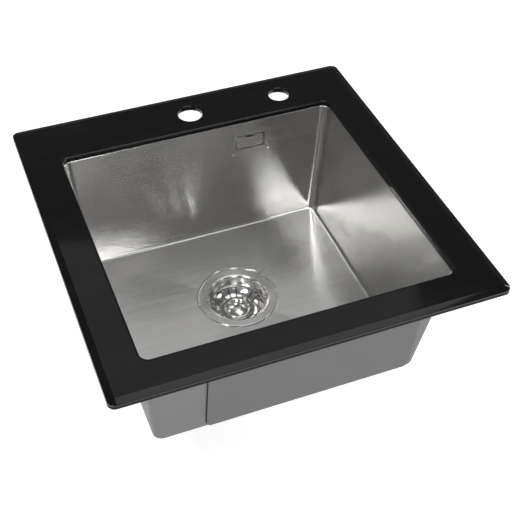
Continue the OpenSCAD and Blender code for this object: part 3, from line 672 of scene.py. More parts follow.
open_disc(strainer, drain_z - ring_sheet)
thicken(strainer, ring_sheet)
bolt_hole_r, drain_hole_r, drain_ring_r, drain_count, drain_cut = 0.0043, 0.0045, 0.019, 9, 0.006
drain_cutters = [round_cutter(bolt_hole_r, (waste_x, waste_y, cup_floor_z), drain_cut, 32)]
for turn in turns(drain_count):
    place = round_waste(drain_ring_r, turn, cup_floor_z)
    drain_cutters.append(round_cutter(drain_hole_r, place, drain_cut, 24))
cut_away(strainer, drain_cutters)
smooth_faces(strainer)
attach(strainer, "sink")
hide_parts("strainer_flange")
print("strainer ring: faces", len(strainer.data.polygons))

# %% Basket with its petals
basket_r, basket_wall_r, basket_low_r = 0.0392, 0.0362, 0.0355
basket_top, basket_wall_z, basket_floor = drain_z - 0.0131, drain_z - 0.0191, drain_z - 0.0252
petal_in_r, ring_out_r, ring_in_r, ring_h = 0.022, 0.0197, 0.0154, 0.0025
basket_sheet, stem_hole_r = 0.0008, 0.00255
steps = offsets(basket_r, basket_top, (0, -0.0003), (-0.0003, 0))
steps += offsets(basket_wall_r, basket_top, (0.0006, 0), (0.0002, -0.0002), (0, -0.0007))
steps += [(basket_low_r, basket_wall_z)]
petal_run, petal_drop = basket_low_r - petal_in_r, basket_wall_z - basket_floor
for index in range(1, 9):
    share = index / 8
    fall = 1 - (1 - share) ** 2
    steps.append((basket_low_r - petal_run * share, basket_wall_z - petal_drop * fall))
steps += [(ring_out_r + 0.0004, basket_floor)]
ring_middle, ring_half, ring_foot = (ring_out_r + ring_in_r) / 2, (ring_out_r - ring_in_r) / 2, 0.0004
for index in range(9):
    turn = math.pi * index / 8
    rise = ring_foot + (ring_h - ring_foot) * math.sin(turn)
    steps.append((ring_middle + ring_half * math.cos(turn), basket_floor + rise))
steps += [(ring_in_r - 0.0004, basket_floor), (stem_hole_r, basket_floor)]
basket_foot = basket_top - basket_sheet
basket = turned_piece("basket_shell", basket_r, basket_foot, steps)
open_disc(basket, basket_foot)
open_disc(basket, basket_floor)
thicken(basket, basket_sheet)

# %% Slots between the petals
slot_in, slot_w, slot_end_r, slot_count, slot_turn = 0.022, 0.0017, 0.0014, 18, math.radians(13)
slot_out, slot_end_h = basket_low_r + 0.00035, 0.008


def slot_cutter(turn):
    """A bar from the raised ring to the basket's wall."""
    length = slot_out - slot_in
    bar = start_plane("slot_cutter", length, slot_w, (slot_in + length / 2, 0, 0))
    open_mesh(bar, "FACE", whole=True)
    push((0, 0, basket_top - basket_floor))
    face_out()
    bar.rotation_euler.z = turn
    bar.location = (waste_x, waste_y, basket_floor - 2 * basket_sheet)
    settle(bar)
    return bar


# each slot is a bar with a wider round hole at its inner end
slot_turns = turns(slot_count, slot_turn)
slot_ends = [round_waste(slot_in, turn, basket_floor + 0.001) for turn in slot_turns]
cut_away(basket, [slot_cutter(turn) for turn in slot_turns])
cut_away(basket, [round_cutter(slot_end_r, place, slot_end_h, 24) for place in slot_ends])
smooth_faces(basket, angle=35)
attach(basket, "basket")
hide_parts("basket_cup")
print("basket: faces", len(basket.data.polygons))

# %% Knob: a low dome with a turned-down edge
knob_r, knob_tip_r, knob_low, knob_h = 0.0145, 0.0004, basket_floor + 0.0003, 0.0034
steps = []
for index in range(1, 11):
    share = index / 10
    rise = knob_h * (1 - (1 - share) ** 2)
    steps.append((knob_r * (1 - share) + knob_tip_r * share, knob_low + rise))
knob = turned_piece("knob_dome", knob_r, knob_low, steps)
open_mesh(knob, "FACE")
face_out()
smooth_faces(knob, angle=40)
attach(knob, "knob")
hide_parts("basket_knob")

# %% [markdown]
# ## Overflow
#
# A thin frame lines the window in the rear wall, and a folded plate clips into it. The frame keeps the
# shape that it has in the model. The plate is a flat sheet in the rear wall's own plane. Its upper edge
# is folded back and has a notch, where a finger pulls it out.

# %% Helper for sheets in the plane of the rear wall
def start_wall_sheet(name, width, height, middle):
    """A flat sheet that faces out of the rear wall into the bowl."""
    piece = start_plane(name, width, height, (0, 0, 0))
    piece.rotation_euler.x = math.pi / 2 - lean
    piece.location = middle
    settle(piece)
    return piece

# %% Folded plate
carrier_lip_t, carrier_fit, carrier_wall = 0.0005, 0.0002, 0.0006
cover_gap, cover_t, cover_fold = 0.0012, 0.0008, 0.0035
cover_w = window_w - 2 * (carrier_fit + carrier_wall + cover_gap)
cover_h = window_h - 2 * (carrier_fit + carrier_wall + cover_gap) + cover_gap / 2
cover_front = field_depth - carrier_lip_t - cover_t / 2
cover_top = cover_h / 2 + cover_gap / 4
notch_w, notch_h, fold_end, fold_round = 0.013, 0.0016, 0.0016, 0.0011
plate = start_wall_sheet("overflow_plate", cover_w, cover_h, in_wall(0, cover_gap / 4, cover_front))
open_mesh(plate, "FACE")
for across in (-notch_w / 2, notch_w / 2, cover_w / 2 - fold_end):
    bpy.ops.mesh.select_all(action="SELECT")
    bpy.ops.mesh.bisect(plane_co=in_wall(across, 0), plane_no=(1, 0, 0))
bpy.ops.mesh.select_all(action="SELECT")
bpy.ops.mesh.bisect(plane_co=in_wall(0, cover_top - notch_h), plane_no=wall_up)


def in_notch(middle, face):
    place = on_wall(middle)
    return place.y > cover_top - notch_h and (abs(place.x) < notch_w / 2 or place.x > cover_w / 2 - fold_end)


def on_plate_top(middle, edge):
    return all(near(on_wall(vert.co).y, cover_top) for vert in edge.verts)


def on_fold(middle, edge):
    places = [on_wall(vert.co) for vert in edge.verts]
    return all(near(place.y, cover_top) and near(place.z, cover_front) for place in places)


print("notches:", pick(plate, "FACE", in_notch))
bpy.ops.mesh.delete(type="FACE")
print("upper edges:", pick(plate, "EDGE", on_plate_top))
push(wall_out * cover_fold)
round_edges(plate, "folded edges:", on_fold, fold_round, 4)
face_out()
if sum(face.area * face.normal.dot(wall_out) for face in plate.data.polygons) > 0:
    plate.data.flip_normals()
thicken(plate, cover_t)

# %% Legs that clip the plate into the frame
leg_x, leg_w = 0.006, 0.006
carrier_depth, leg_clear = 0.009, 0.0018
leg_end = field_depth + carrier_depth - leg_clear
legs = []
for side in (-1, 1):
    leg = start_wall_sheet("leg", leg_w, cover_t, in_wall(side * leg_x, 0, cover_front + cover_t / 2))
    open_mesh(leg, "FACE", whole=True)
    push(wall_out * (leg_end - cover_front - cover_t / 2))
    face_out()
    legs.append(leg)
plate = join([plate] + legs)
smooth_faces(plate)
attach(plate, "cover")
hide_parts("overflow_cover")
print("plate: faces", len(plate.data.polygons))

# %% [markdown]
# ## Front sound pad
#
# A heavy rubber sheet is glued to the outside of the front wall. It starts as a flat sheet in that
# wall's plane, with round corners, and gets its thickness and a soft edge.

# %% Sound pad
pad_low, pad_high = (Vector(corner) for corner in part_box("sound_pad_front"))
front_top = Vector((0, opening_y - bowl_d / 2 - sheet, flange_top_z))
slant_depth = bowl_depth / math.cos(lean)
pad_t, pad_bond, pad_round, pad_corner = 0.003, 0.00002, 0.0006, 0.008
pad_top, pad_bottom = 0.016, slant_depth - 0.005
pad_up = Vector((0, -math.sin(lean), math.cos(lean)))
pad_out = Vector((0, -math.cos(lean), -math.sin(lean)))
pad = start_plane("front_pad", pad_high.x - pad_low.x, pad_bottom - pad_top, (0, 0, 0))
round_outline(pad, pad_corner)
pad.rotation_euler.x = math.pi / 2 + lean
pad_middle = Vector(((pad_low.x + pad_high.x) / 2, 0, 0)) + front_top
pad.location = pad_middle - pad_up * (pad_top + pad_bottom) / 2 + pad_out * pad_bond
settle(pad)
open_mesh(pad, "FACE", whole=True)
push(pad_out * (pad_t - pad_bond))
bpy.ops.mesh.select_all(action="SELECT")
bpy.ops.mesh.normals_make_consistent(inside=False)


def on_pad_front(middle, edge):
    return all(near((vert.co - front_top).dot(pad_out), pad_t, 0.0001) for vert in edge.verts)


round_edges(pad, "pad edges:", on_pad_front, pad_round, 3)
close_mesh()
smooth_faces(pad)
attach(pad, "sink")
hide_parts("sound_pad_front")

# %% [markdown]
# ## Overflow hose
#
# The hose is a corrugated tube that is clamped at both ends: down from the overflow, round a quarter
# bend and in to the waste body. One ring of its outline is pushed along the route, turned at the bend
# and made wider or narrower at each rib.

# %% Route of the hose
spigot_y = 0.016
hose_y = wall_y + spigot_y
hose_angle = math.atan2(hose_y - waste_y, overflow_x - waste_x)
hose_out = math.hypot(overflow_x - waste_x, hose_y - waste_y)
housing_h, spigot_root, hose_gap = 0.0292, 0.004, 0.0003
hose_start_z = overflow_z - housing_h / 2 - spigot_root - hose_gap
gasket_t, branch_drop = 0.0025, 0.015
body_top_z = seat_z - sheet - gasket_t
hose_r, valley_r, cuff_r, bore_r = 0.0135, 0.0116, 0.0124, 0.0102
branch_z = body_top_z - branch_drop - hose_r
bend_r, branch_reach, cuff_len, rib_pitch = 0.060, 0.062, 0.027, 0.006
run_down = hose_start_z - branch_z - bend_r
run_bend = math.pi / 2 * bend_r
run_in = hose_out - bend_r - branch_reach
hose_len = run_down + run_bend + run_in
print("hose length:", round(hose_len, 4))


def hose_at(distance_along):
    """Middle of the hose in its own plane, and how far it has turned from straight down."""
    if distance_along < run_down:
        return Vector((hose_out, 0, hose_start_z - distance_along)), 0.0
    turned = min((distance_along - run_down) / bend_r, math.pi / 2)
    inward, rise = bend_r * (1 - math.cos(turned)), bend_r * (1 - math.sin(turned))
    middle = Vector((hose_out - inward, 0, branch_z + rise))
    past = max(distance_along - run_down - run_bend, 0)
    return middle - Vector((past, 0, 0)), turned


# %% Rings of the hose, from cuff to cuff
hose_sides, cuff_edge = 24, 0.002
rib_span = hose_len - 2 * cuff_len
rib_count = math.floor(rib_span / rib_pitch)
shoulder_r = hose_r - 0.0003
rib_shape = ((0.12, valley_r), (0.30, shoulder_r), (0.5, hose_r), (0.70, shoulder_r), (0.88, valley_r))
rings = [(0.0, cuff_r), (cuff_len - cuff_edge, cuff_r)]
for index in range(rib_count):
    for part, radius in rib_shape:
        rings.append((cuff_len + rib_span * (index + part) / rib_count, radius))
rings += [(hose_len - cuff_len + cuff_edge, cuff_r), (hose_len, cuff_r)]


def follow_route(piece, stops):
    """Pushes the picked ring from stop to stop: each gives a distance along the hose and a radius."""
    radius = stops[0][1]
    place, turned = hose_at(stops[0][0])
    for distance_along, next_radius in stops[1:]:
        next_place, next_turned = hose_at(distance_along)
        bpy.ops.mesh.extrude_region_move()
        bpy.ops.transform.translate(value=next_place - place)
        if next_turned != turned:
            bpy.ops.transform.rotate(value=turned - next_turned, orient_axis="Y", center_override=next_place)
        share = next_radius / radius
        bpy.ops.transform.resize(value=(share, share, share), center_override=next_place)
        place, turned, radius = next_place, next_turned, next_radius


bpy.ops.object.select_all(action="DESELECT")
bpy.ops.mesh.primitive_circle_add(vertices=hose_sides, radius=cuff_r, location=hose_at(0)[0])
hose = bpy.context.active_object
hose.name = hose.data.name = "ribbed_hose"
settle(hose)
open_mesh(hose, "EDGE", whole=True)
follow_route(hose, rings)
bore_stops = [(hose_len, cuff_r), (hose_len, bore_r)]
bore_stops += [(run_down + run_bend * index / 12, bore_r) for index in range(12, -1, -1)] + [(0.0, bore_r)]
follow_route(hose, bore_stops)
pick(hose, "EDGE", lambda middle, edge: len(edge.link_faces) == 1)
bpy.ops.mesh.bridge_edge_loops()
face_out()
hose.rotation_euler.z = hose_angle
hose.location = (waste_x, waste_y, 0)
settle(hose)
smooth_faces(hose, angle=60)
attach(hose, "sink")
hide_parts("overflow_hose")
print("hose: box", rounded(hose.bound_box[0]), rounded(hose.bound_box[6]))

# %% [markdown]
# ## Pieces that keep their shape
#
# The other pieces have the right shape in the frame, but a frame's mesh is made of loose triangles with
# knife-sharp edges, and no real edge is that sharp. A copy of each is merged and its flat faces are made
# whole, its sharp edges get a small round, and its round faces are shaded smooth.

# %% Soften a copy of a node
def soften(node, body, edge_round, angle=40):
    """Makes a piece from a copy of a node, with its sharp edges rounded."""
    piece = bpy.data.objects.new(node + "_piece", frame["nodes"][node].data.copy())
    bpy.context.scene.collection.objects.link(piece)
    open_mesh(piece, "VERT", whole=True)
    bpy.ops.mesh.remove_doubles(threshold=0.000005)
    bpy.ops.mesh.dissolve_limited(angle_limit=math.radians(0.5))
    close_mesh()
    if edge_round:
        rounding = piece.modifiers.new("rounding", "BEVEL")
        rounding.width = edge_round
        rounding.segments = 2
        rounding.limit_method = "ANGLE"
        rounding.angle_limit = math.radians(angle)
        finish_modifiers(piece)
    smooth_faces(piece, angle=angle)
    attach(piece, body)
    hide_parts(node)
    return piece


bodies_of = {}
for body, nodes in frame["record"]["behaviour"]["bodies"].items():
    for node in nodes:
        bodies_of[node] = body
slots_of = {part["node"]: part["material_slot"] for part in frame["record"]["subparts"]}
modelled = {
    "glass_top", "bowl", "sound_pad_front", "strainer_flange", "basket_cup", "basket_knob",
    "overflow_cover", "overflow_hose",
}
edge_rounds = {
    "brushed_steel": 0.0002, "polished_steel": 0.00012, "zinc_steel": 0.0002, "white_plastic": 0.0004,
    "seal_rubber": 0.00025, "sealant": 0.0, "sound_pad": 0.0004,
}
softened = {}
for node, slot in slots_of.items():
    if node not in modelled:
        softened[node] = soften(node, bodies_of[node], edge_rounds[slot])
        print(node, len(softened[node].data.polygons), "faces")

# %% [markdown]
# ## Finishes
#
# A finish is built from a few effects that real surfaces share. Brush lines are the scratches that a
# belt leaves in steel. Cloudy patches are where a sheet was brushed a little harder or wiped less well.
# Edge polish is where hands and cloths keep an edge bright. Mould grain is the fine pitting of rubber
# and plastic, and wipe marks are the thin film that a cloth leaves on glass. Each effect is one node
# group with named inputs, so that every finish can use it at its own scale.

# %% Helpers for node trees
def add_node(tree, kind, inputs=None, **options):
    """Adds a node, sets its options, and fills its inputs from numbers or from other nodes' outputs."""
    made = tree.nodes.new(kind)
    for option, value in options.items():
        setattr(made, option, value)
    for title, source in (inputs or {}).items():
        if isinstance(source, bpy.types.NodeSocket):
            tree.links.new(source, made.inputs[title])
        else:
            made.inputs[title].default_value = source
    return made


def new_effect(name, numbers, output):
    """Starts an effect: a group that takes a place and some numbers and puts out one value."""
    effect = bpy.data.node_groups.new(name, "ShaderNodeTree")
    effect.interface.new_socket("Place", in_out="INPUT", socket_type="NodeSocketVector")
    for title, value in numbers.items():
        socket = effect.interface.new_socket(title, in_out="INPUT", socket_type="NodeSocketFloat")
        socket.default_value = value
    effect.interface.new_socket(output, in_out="OUTPUT", socket_type="NodeSocketFloat")
    return effect, effect.nodes.new("NodeGroupInput").outputs, effect.nodes.new("NodeGroupOutput").inputs


def spread(tree, value, low, high, to_low=0.0, to_high=1.0):
    """Stretches a value from one range to another, and holds it inside the new one."""
    inputs = {"Value": value, "From Min": low, "From Max": high, "To Min": to_low, "To Max": to_high}
    return add_node(tree, "ShaderNodeMapRange", inputs).outputs["Result"]


def sums(tree, operation, first, second):
    return add_node(tree, "ShaderNodeMath", {0: first, 1: second}, operation=operation).outputs[0]

# %% Brush lines
brush_lines, given, result = new_effect("brush lines", {"Along": 12.0, "Across": 900.0}, "Lines")
parts = add_node(brush_lines, "ShaderNodeSeparateXYZ", {0: given["Place"]}).outputs
layers = []
for along_share, across_share, detail in ((1.0, 1.0, 2.0), (0.35, 0.16, 1.0)):
    stretched = {}
    shares = (("X", "Along", along_share), ("Y", "Across", across_share), ("Z", "Across", across_share))
    for axis, number, share in shares:
        scaled = sums(brush_lines, "MULTIPLY", parts[axis], given[number])
        stretched[axis] = sums(brush_lines, "MULTIPLY", scaled, share)
    place = add_node(brush_lines, "ShaderNodeCombineXYZ", stretched).outputs[0]
    noise = {"Vector": place, "Scale": 1.0, "Detail": detail, "Roughness": 0.6}
    layers.append(add_node(brush_lines, "ShaderNodeTexNoise", noise).outputs["Fac"])
fine = sums(brush_lines, "MULTIPLY", layers[0], 0.6)
coarse = sums(brush_lines, "MULTIPLY", layers[1], 0.4)
brush_lines.links.new(spread(brush_lines, sums(brush_lines, "ADD", fine, coarse), 0.3, 0.7), result["Lines"])
print("brush lines:", len(brush_lines.nodes), "nodes")

# %% Cloudy patches
cloudy_patches, given, result = new_effect("cloudy patches", {"Scale": 9.0}, "Patches")
noise = {
    "Vector": given["Place"], "Scale": given["Scale"], "Detail": 3.0, "Roughness": 0.5, "Distortion": 0.4,
}
patches = add_node(cloudy_patches, "ShaderNodeTexNoise", noise).outputs["Fac"]
cloudy_patches.links.new(spread(cloudy_patches, patches, 0.3, 0.7), result["Patches"])

# %% Edge polish
polish_numbers = {"Start": 0.53, "Full": 0.64, "Break up": 60.0}
edge_polish, given, result = new_effect("edge polish", polish_numbers, "Edges")
sharpness = add_node(edge_polish, "ShaderNodeNewGeometry").outputs["Pointiness"]
noise = {"Vector": given["Place"], "Scale": given["Break up"], "Detail": 2.0}
uneven = add_node(edge_polish, "ShaderNodeTexNoise", noise).outputs["Fac"]
broken = spread(edge_polish, uneven, 0.3, 0.6, 0.5, 1.0)
edges = spread(edge_polish, sharpness, given["Start"], given["Full"])
edge_polish.links.new(sums(edge_polish, "MULTIPLY", edges, broken), result["Edges"])

# %% Mould grain
mould_grain, given, result = new_effect("mould grain", {"Scale": 1500.0}, "Grain")
cells = add_node(mould_grain, "ShaderNodeTexVoronoi", {"Vector": given["Place"], "Scale": given["Scale"]})
noise = {"Vector": given["Place"], "Scale": given["Scale"], "Detail": 2.0}
pits = add_node(mould_grain, "ShaderNodeTexNoise", noise).outputs["Fac"]
grain = sums(mould_grain, "ADD", sums(mould_grain, "MULTIPLY", cells.outputs["Distance"], 0.5), pits)
mould_grain.links.new(spread(mould_grain, grain, 0.3, 1.2), result["Grain"])

# %% Wipe marks
wipe_marks, given, result = new_effect("wipe marks", {"Scale": 5.0}, "Marks")
stretch = {0: given["Place"], 1: (1.0, 3.2, 1.0)}
strokes = add_node(wipe_marks, "ShaderNodeVectorMath", stretch, operation="MULTIPLY").outputs["Vector"]
noise = {"Vector": strokes, "Scale": given["Scale"], "Detail": 5.0, "Roughness": 0.62, "Distortion": 1.2}
marks = add_node(wipe_marks, "ShaderNodeTexNoise", noise).outputs["Fac"]
wipe_marks.links.new(spread(wipe_marks, marks, 0.48, 0.78), result["Marks"])

# %% [markdown]
# The steel of the bowl was brushed as a flat sheet, so its lines run level round the walls and from
# side to side over the floor. Brushed steel is rough across its lines and smooth along them, which
# draws every reflection out across the lines. The map that was laid on each piece tells the shader
# which way its lines run: level on the folded bowl, and round and round on the turned strainer.

# %% Helpers for a finish
def new_finish(name):
    finish = bpy.data.materials.new(name)
    finish.use_nodes = True
    return finish, finish.node_tree, finish.node_tree.nodes["Principled BSDF"]


def effect_value(tree, effect, place, **numbers):
    """Places an effect in a finish with its own numbers, and returns its value."""
    made = add_node(tree, "ShaderNodeGroup", node_tree=effect)
    tree.links.new(place, made.inputs["Place"])
    for title, value in numbers.items():
        made.inputs[title.replace("_", " ")].default_value = value
    return made.outputs[0]


def tint(tree, share, low, high):
    """A colour between two others."""
    mixed = add_node(tree, "ShaderNodeMix", data_type="RGBA")
    tree.links.new(share, mixed.inputs["Factor"])
    mixed.inputs[6].default_value = (*low, 1)
    mixed.inputs[7].default_value = (*high, 1)
    return mixed.outputs[2]


def raised(tree, height, depth, under=None):
    """Turns a height into a bump of the given depth, on top of another bump."""
    bump = add_node(tree, "ShaderNodeBump", {"Height": height, "Distance": depth, "Strength": 1.0})
    if under:
        tree.links.new(under, bump.inputs["Normal"])
    return bump.outputs["Normal"]


def object_place(tree):
    """The place in the piece's own space."""
    return add_node(tree, "ShaderNodeTexCoord").outputs["Object"]

# %% Brushed steel
scratch_depth = 0.0000005


def brushed_steel(name, dark, light, rough, lines, stretch, wave=0.0):
    """Steel with lines along the first direction of the piece's map; rough gives its two roughnesses."""
    finish, tree, surface = new_finish(name)
    place = add_node(tree, "ShaderNodeUVMap", uv_map="grain").outputs[0]
    solid_place = object_place(tree)
    scratch = effect_value(tree, brush_lines, place, Along=lines[0], Across=lines[1])
    patch = effect_value(tree, cloudy_patches, solid_place, Scale=11.0)
    edge = effect_value(tree, edge_polish, solid_place)
    mixed = sums(tree, "ADD", sums(tree, "MULTIPLY", scratch, 0.6), sums(tree, "MULTIPLY", patch, 0.4))
    tree.links.new(tint(tree, sums(tree, "MAXIMUM", mixed, edge), dark, light), surface.inputs["Base Color"])
    uneven = spread(tree, mixed, 0.0, 1.0, rough[0], rough[1])
    polished = sums(tree, "SUBTRACT", uneven, sums(tree, "MULTIPLY", edge, 0.06))
    tree.links.new(polished, surface.inputs["Roughness"])
    under = None
    if wave:
        noise = {"Vector": solid_place, "Scale": 5.0, "Detail": 1.0}
        under = raised(tree, add_node(tree, "ShaderNodeTexNoise", noise).outputs["Fac"], wave)
    tree.links.new(raised(tree, scratch, scratch_depth, under), surface.inputs["Normal"])
    surface.inputs["Metallic"].default_value = 1.0
    surface.inputs["Anisotropic"].default_value = stretch
    surface.inputs["Anisotropic Rotation"].default_value = 0.25
    tangent = add_node(tree, "ShaderNodeTangent", direction_type="UV_MAP", uv_map="grain")
    tree.links.new(tangent.outputs[0], surface.inputs["Tangent"])
    return finish


bowl_steel = brushed_steel(
    "bowl steel", dark=(0.60, 0.595, 0.585), light=(0.70, 0.695, 0.685), rough=(0.17, 0.24),
    lines=(10.0, 1100.0), stretch=0.85, wave=0.0016)
outer_steel = brushed_steel(
    "outer steel", dark=(0.165, 0.165, 0.163), light=(0.215, 0.215, 0.212), rough=(0.42, 0.52),
    lines=(14.0, 800.0), stretch=0.3)
turned_steel = brushed_steel(
    "turned steel", dark=(0.70, 0.695, 0.685), light=(0.80, 0.795, 0.785), rough=(0.2, 0.28),
    lines=(14.0, 1500.0), stretch=0.8)

# %% Polished and plated steel
def polished_steel(name, dark, light, rough, marks_scale):
    """Bright steel: nearly a mirror, with a thin film and small cloudy patches."""
    finish, tree, surface = new_finish(name)
    place = object_place(tree)
    film = effect_value(tree, wipe_marks, place, Scale=marks_scale)
    patch = effect_value(tree, cloudy_patches, place, Scale=160.0)
    edge = effect_value(tree, edge_polish, place, Break_up=300.0)
    tree.links.new(tint(tree, sums(tree, "MAXIMUM", patch, edge), dark, light), surface.inputs["Base Color"])
    worn = sums(tree, "MAXIMUM", film, sums(tree, "MULTIPLY", patch, 0.5))
    uneven = spread(tree, worn, 0.0, 1.0, rough[0], rough[1])
    tree.links.new(uneven, surface.inputs["Roughness"])
    tree.links.new(raised(tree, patch, 0.00001), surface.inputs["Normal"])
    surface.inputs["Metallic"].default_value = 1.0
    return finish


bright_steel = polished_steel("bright steel", (0.66, 0.655, 0.645), (0.74, 0.735, 0.725), (0.11, 0.2), 60.0)
zinc_plating = polished_steel("zinc plating", (0.46, 0.47, 0.50), (0.64, 0.65, 0.66), (0.28, 0.46), 90.0)

# %% Black glass
black_glass, tree, surface = new_finish("black glass")
place = object_place(tree)
film = effect_value(tree, wipe_marks, place, Scale=4.0)
dust = effect_value(tree, mould_grain, place, Scale=240.0)
edge = effect_value(tree, edge_polish, place, Start=0.55, Full=0.75)
thin_film = sums(tree, "MULTIPLY", film, 0.35)
lighter = sums(tree, "MAXIMUM", thin_film, edge)
glass_colour = tint(tree, lighter, (0.0030, 0.0030, 0.0033), (0.016, 0.016, 0.017))
tree.links.new(glass_colour, surface.inputs["Base Color"])
dulled = sums(tree, "ADD", sums(tree, "MULTIPLY", film, 0.07), sums(tree, "MULTIPLY", dust, 0.02))
tree.links.new(sums(tree, "ADD", dulled, 0.035), surface.inputs["Roughness"])
noise = {"Vector": place, "Scale": 14.0, "Detail": 1.0}
soft_wave = add_node(tree, "ShaderNodeTexNoise", noise).outputs["Fac"]
tree.links.new(raised(tree, soft_wave, 0.00006), surface.inputs["Normal"])
surface.inputs["IOR"].default_value = 1.5
surface.inputs["Specular IOR Level"].default_value = 0.36

# %% Rubber, plastic and the sound pads
def moulded(name, dark, light, rough, grain_scale, grain_depth, patch_scale=14.0, gloss=0.5):
    """A moulded surface: fine pits, uneven colour, and edges that are rubbed a little lighter."""
    finish, tree, surface = new_finish(name)
    place = object_place(tree)
    grain = effect_value(tree, mould_grain, place, Scale=grain_scale)
    patch = effect_value(tree, cloudy_patches, place, Scale=patch_scale)
    edge = effect_value(tree, edge_polish, place, Break_up=200.0)
    mixed = sums(tree, "ADD", sums(tree, "MULTIPLY", grain, 0.35), sums(tree, "MULTIPLY", patch, 0.65))
    tree.links.new(tint(tree, sums(tree, "MAXIMUM", mixed, edge), dark, light), surface.inputs["Base Color"])
    tree.links.new(spread(tree, mixed, 0.0, 1.0, rough[0], rough[1]), surface.inputs["Roughness"])
    tree.links.new(raised(tree, grain, grain_depth), surface.inputs["Normal"])
    surface.inputs["Specular IOR Level"].default_value = gloss
    return finish


sealant = moulded(
    "black sealant", (0.008, 0.008, 0.009), (0.022, 0.022, 0.023), rough=(0.35, 0.5),
    grain_scale=900.0, grain_depth=0.00002, gloss=0.12)
seal_rubber = moulded(
    "seal rubber", (0.009, 0.009, 0.010), (0.022, 0.022, 0.023), rough=(0.5, 0.68),
    grain_scale=1800.0, grain_depth=0.00003, gloss=0.12)
sound_pad = moulded(
    "sound pad", (0.165, 0.165, 0.165), (0.215, 0.215, 0.214), rough=(0.55, 0.72),
    grain_scale=900.0, grain_depth=0.00004, patch_scale=7.0)
white_plastic = moulded(
    "white plastic", (0.72, 0.72, 0.70), (0.80, 0.80, 0.785), rough=(0.32, 0.45),
    grain_scale=2200.0, grain_depth=0.00001)
hose_plastic = moulded(
    "hose plastic", (0.68, 0.685, 0.67), (0.78, 0.785, 0.77), rough=(0.3, 0.42),
    grain_scale=2600.0, grain_depth=0.00001)

# %% [markdown]
# Each piece gets the finish of its place in the record. The bowl has two: its outside was never brushed
# for show and is duller. The front pad's end faces are painted near black: painted shade for the dark line
# of shadow at its ends. The turned strainer needs its map laid round the waste, and the folded plate gets
# a map that looks at each face from its own side.

# %% Lay the grain on the other steel pieces
true_radius = 0.04


def lay_round(piece):
    """A map with its first direction round the waste and its second along the turned profile."""
    layer = piece.data.uv_layers.new(name="grain")
    for face in piece.data.polygons:
        start = math.atan2(face.center.y - waste_y, face.center.x - waste_x)
        for corner in face.loop_indices:
            point = piece.data.vertices[piece.data.loops[corner].vertex_index].co
            reach = math.hypot(point.x - waste_x, point.y - waste_y)
            angle = math.atan2(point.y - waste_y, point.x - waste_x)
            angle = start + math.remainder(angle - start, 2 * math.pi)
            layer.data[corner].uv = (angle * true_radius, reach - point.z)


def lay_flat(piece):
    """A map that looks at each face along the axis that it turns to."""
    while piece.data.uv_layers:
        piece.data.uv_layers.remove(piece.data.uv_layers[0])
    piece.data.uv_layers.new(name="grain")
    open_mesh(piece, "FACE", whole=True)
    bpy.ops.uv.cube_project(cube_size=1.0)
    close_mesh()


lay_round(strainer)
lay_flat(plate)
print("strainer's map starts at", rounded(strainer.data.uv_layers["grain"].data[0].uv))

# %% Hand the finishes out
finishes = {
    "black_glass": black_glass, "sealant": sealant, "seal_rubber": seal_rubber,
    "brushed_steel": turned_steel, "polished_steel": bright_steel, "zinc_steel": zinc_plating,
    "sound_pad": sound_pad, "white_plastic": white_plastic, "hose_plastic": hose_plastic,
}
own_pieces = {
    "black_glass": [glass], "brushed_steel": [strainer, plate], "polished_steel": [basket, knob],
    "sound_pad": [pad], "hose_plastic": [hose],
}


def dress(piece, finish):
    piece.data.materials.clear()
    piece.data.materials.append(finish)


for slot, pieces in own_pieces.items():
    for piece in pieces:
        dress(piece, finishes[slot])
for node, piece in softened.items():
    dress(piece, finishes[slots_of[node]])
# The pad's end faces take the near-black sealant finish as painted shade, for the shadow line at its ends.
pad.data.materials.append(sealant)
for face in pad.data.polygons:
    if abs(face.normal.x) > 0.7:
        face.material_index = 1
bowl.data.materials[0] = bowl_steel
bowl.data.materials[1] = outer_steel
outside = sum(face.material_index for face in bowl.data.polygons)
print("bowl faces on the outside:", outside, "of", len(bowl.data.polygons))

# %% [markdown]
# ## Stage and light
#
# The sink lies on a plain white floor. A floor that is only lit never comes out quite white, so it
# also glows a little, but only for rays that come from the camera or from a mirror-like surface. The
# lit part is still shaded by the sink, so its shadow stays.

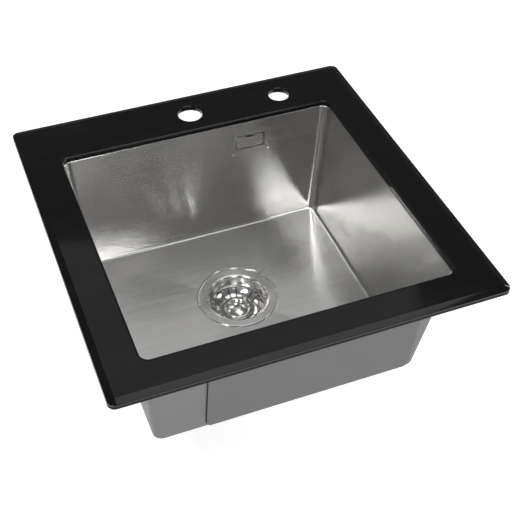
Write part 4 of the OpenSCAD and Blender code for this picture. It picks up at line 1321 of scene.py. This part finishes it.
# %% Floor
floor_low = min(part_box(node)[0][2] for node in frame["nodes"])
stage_floor = start_plane("stage_floor", 40, 40, (0, 0, floor_low))
finish, tree, surface = new_finish("stage floor")
surface.inputs["Base Color"].default_value = (0.85, 0.85, 0.85, 1)
surface.inputs["Roughness"].default_value = 0.9
surface.inputs["Specular IOR Level"].default_value = 0.0
rays = add_node(tree, "ShaderNodeLightPath").outputs
seen = sums(tree, "MAXIMUM", rays["Is Camera Ray"], rays["Is Glossy Ray"])
seen = sums(tree, "MAXIMUM", seen, rays["Is Transmission Ray"])
glow = add_node(tree, "ShaderNodeEmission", {"Strength": sums(tree, "MULTIPLY", seen, 0.62)})
both = add_node(tree, "ShaderNodeAddShader", {0: surface.outputs[0], 1: glow.outputs[0]})
tree.links.new(both.outputs[0], tree.nodes["Material Output"].inputs["Surface"])
stage_floor.data.materials.append(finish)

# %% [markdown]
# Steel shows the room that it stands in, and in a bowl it shows it three or four times over. The lamps
# are therefore soft, and stand where the picture's bright patches say. The front and low lamps light the
# rear wall beside the overflow and at its lower left end. The left lamp draws the two fans beside the
# rear right corner. The right lamps fill the far walls and the outside. The top and rear lamps are wide
# and dim: they show in the ground bevel, in the glass and at the front of the floor.

# %% World and lamps
world = bpy.context.scene.world or bpy.data.worlds.new("world")
bpy.context.scene.world = world
world.use_nodes = True
world.node_tree.nodes["Background"].inputs["Color"].default_value = (1, 1, 1, 1)
world.node_tree.nodes["Background"].inputs["Strength"].default_value = 0.17
lamp_distance, lamp_aim = 4.0, Vector((0, 0, -0.1))


def softbox(name, turn, height, size, radiance):
    """A flat lamp that faces the sink. Its turn from the front to the right and its height are degrees."""
    away = direction(math.radians(turn), math.radians(height))
    lamp_data = bpy.data.lights.new(name, "AREA")
    lamp_data.shape = "RECTANGLE"
    lamp_data.size, lamp_data.size_y = size
    lamp_data.energy = radiance * math.pi * size[0] * size[1]
    lamp = bpy.data.objects.new(name, lamp_data)
    bpy.context.scene.collection.objects.link(lamp)
    lamp.location = lamp_aim + away * lamp_distance
    lamp.rotation_euler = (-away).to_track_quat("-Z", "Y").to_euler()
    print(name, "at", rounded(lamp.location))


softbox("front lamp", -8, 42, (0.84, 1.1), 11.0)
softbox("low lamp", 5, 29, (0.5, 0.7), 13.0)
softbox("left lamp", -62, 59, (0.8, 1.2), 16.0)
softbox("right lamp", 100, 22, (1.4, 1.1), 10.0)
softbox("small right lamp", 36, 30, (0.5, 0.56), 16.0)
softbox("top lamp", 123, 76, (2.2, 1.8), 1.3)
softbox("rear lamp", 160, 56, (2.0, 1.5), 0.4)

# %% Colour
bpy.context.scene.view_settings.view_transform = "Standard"
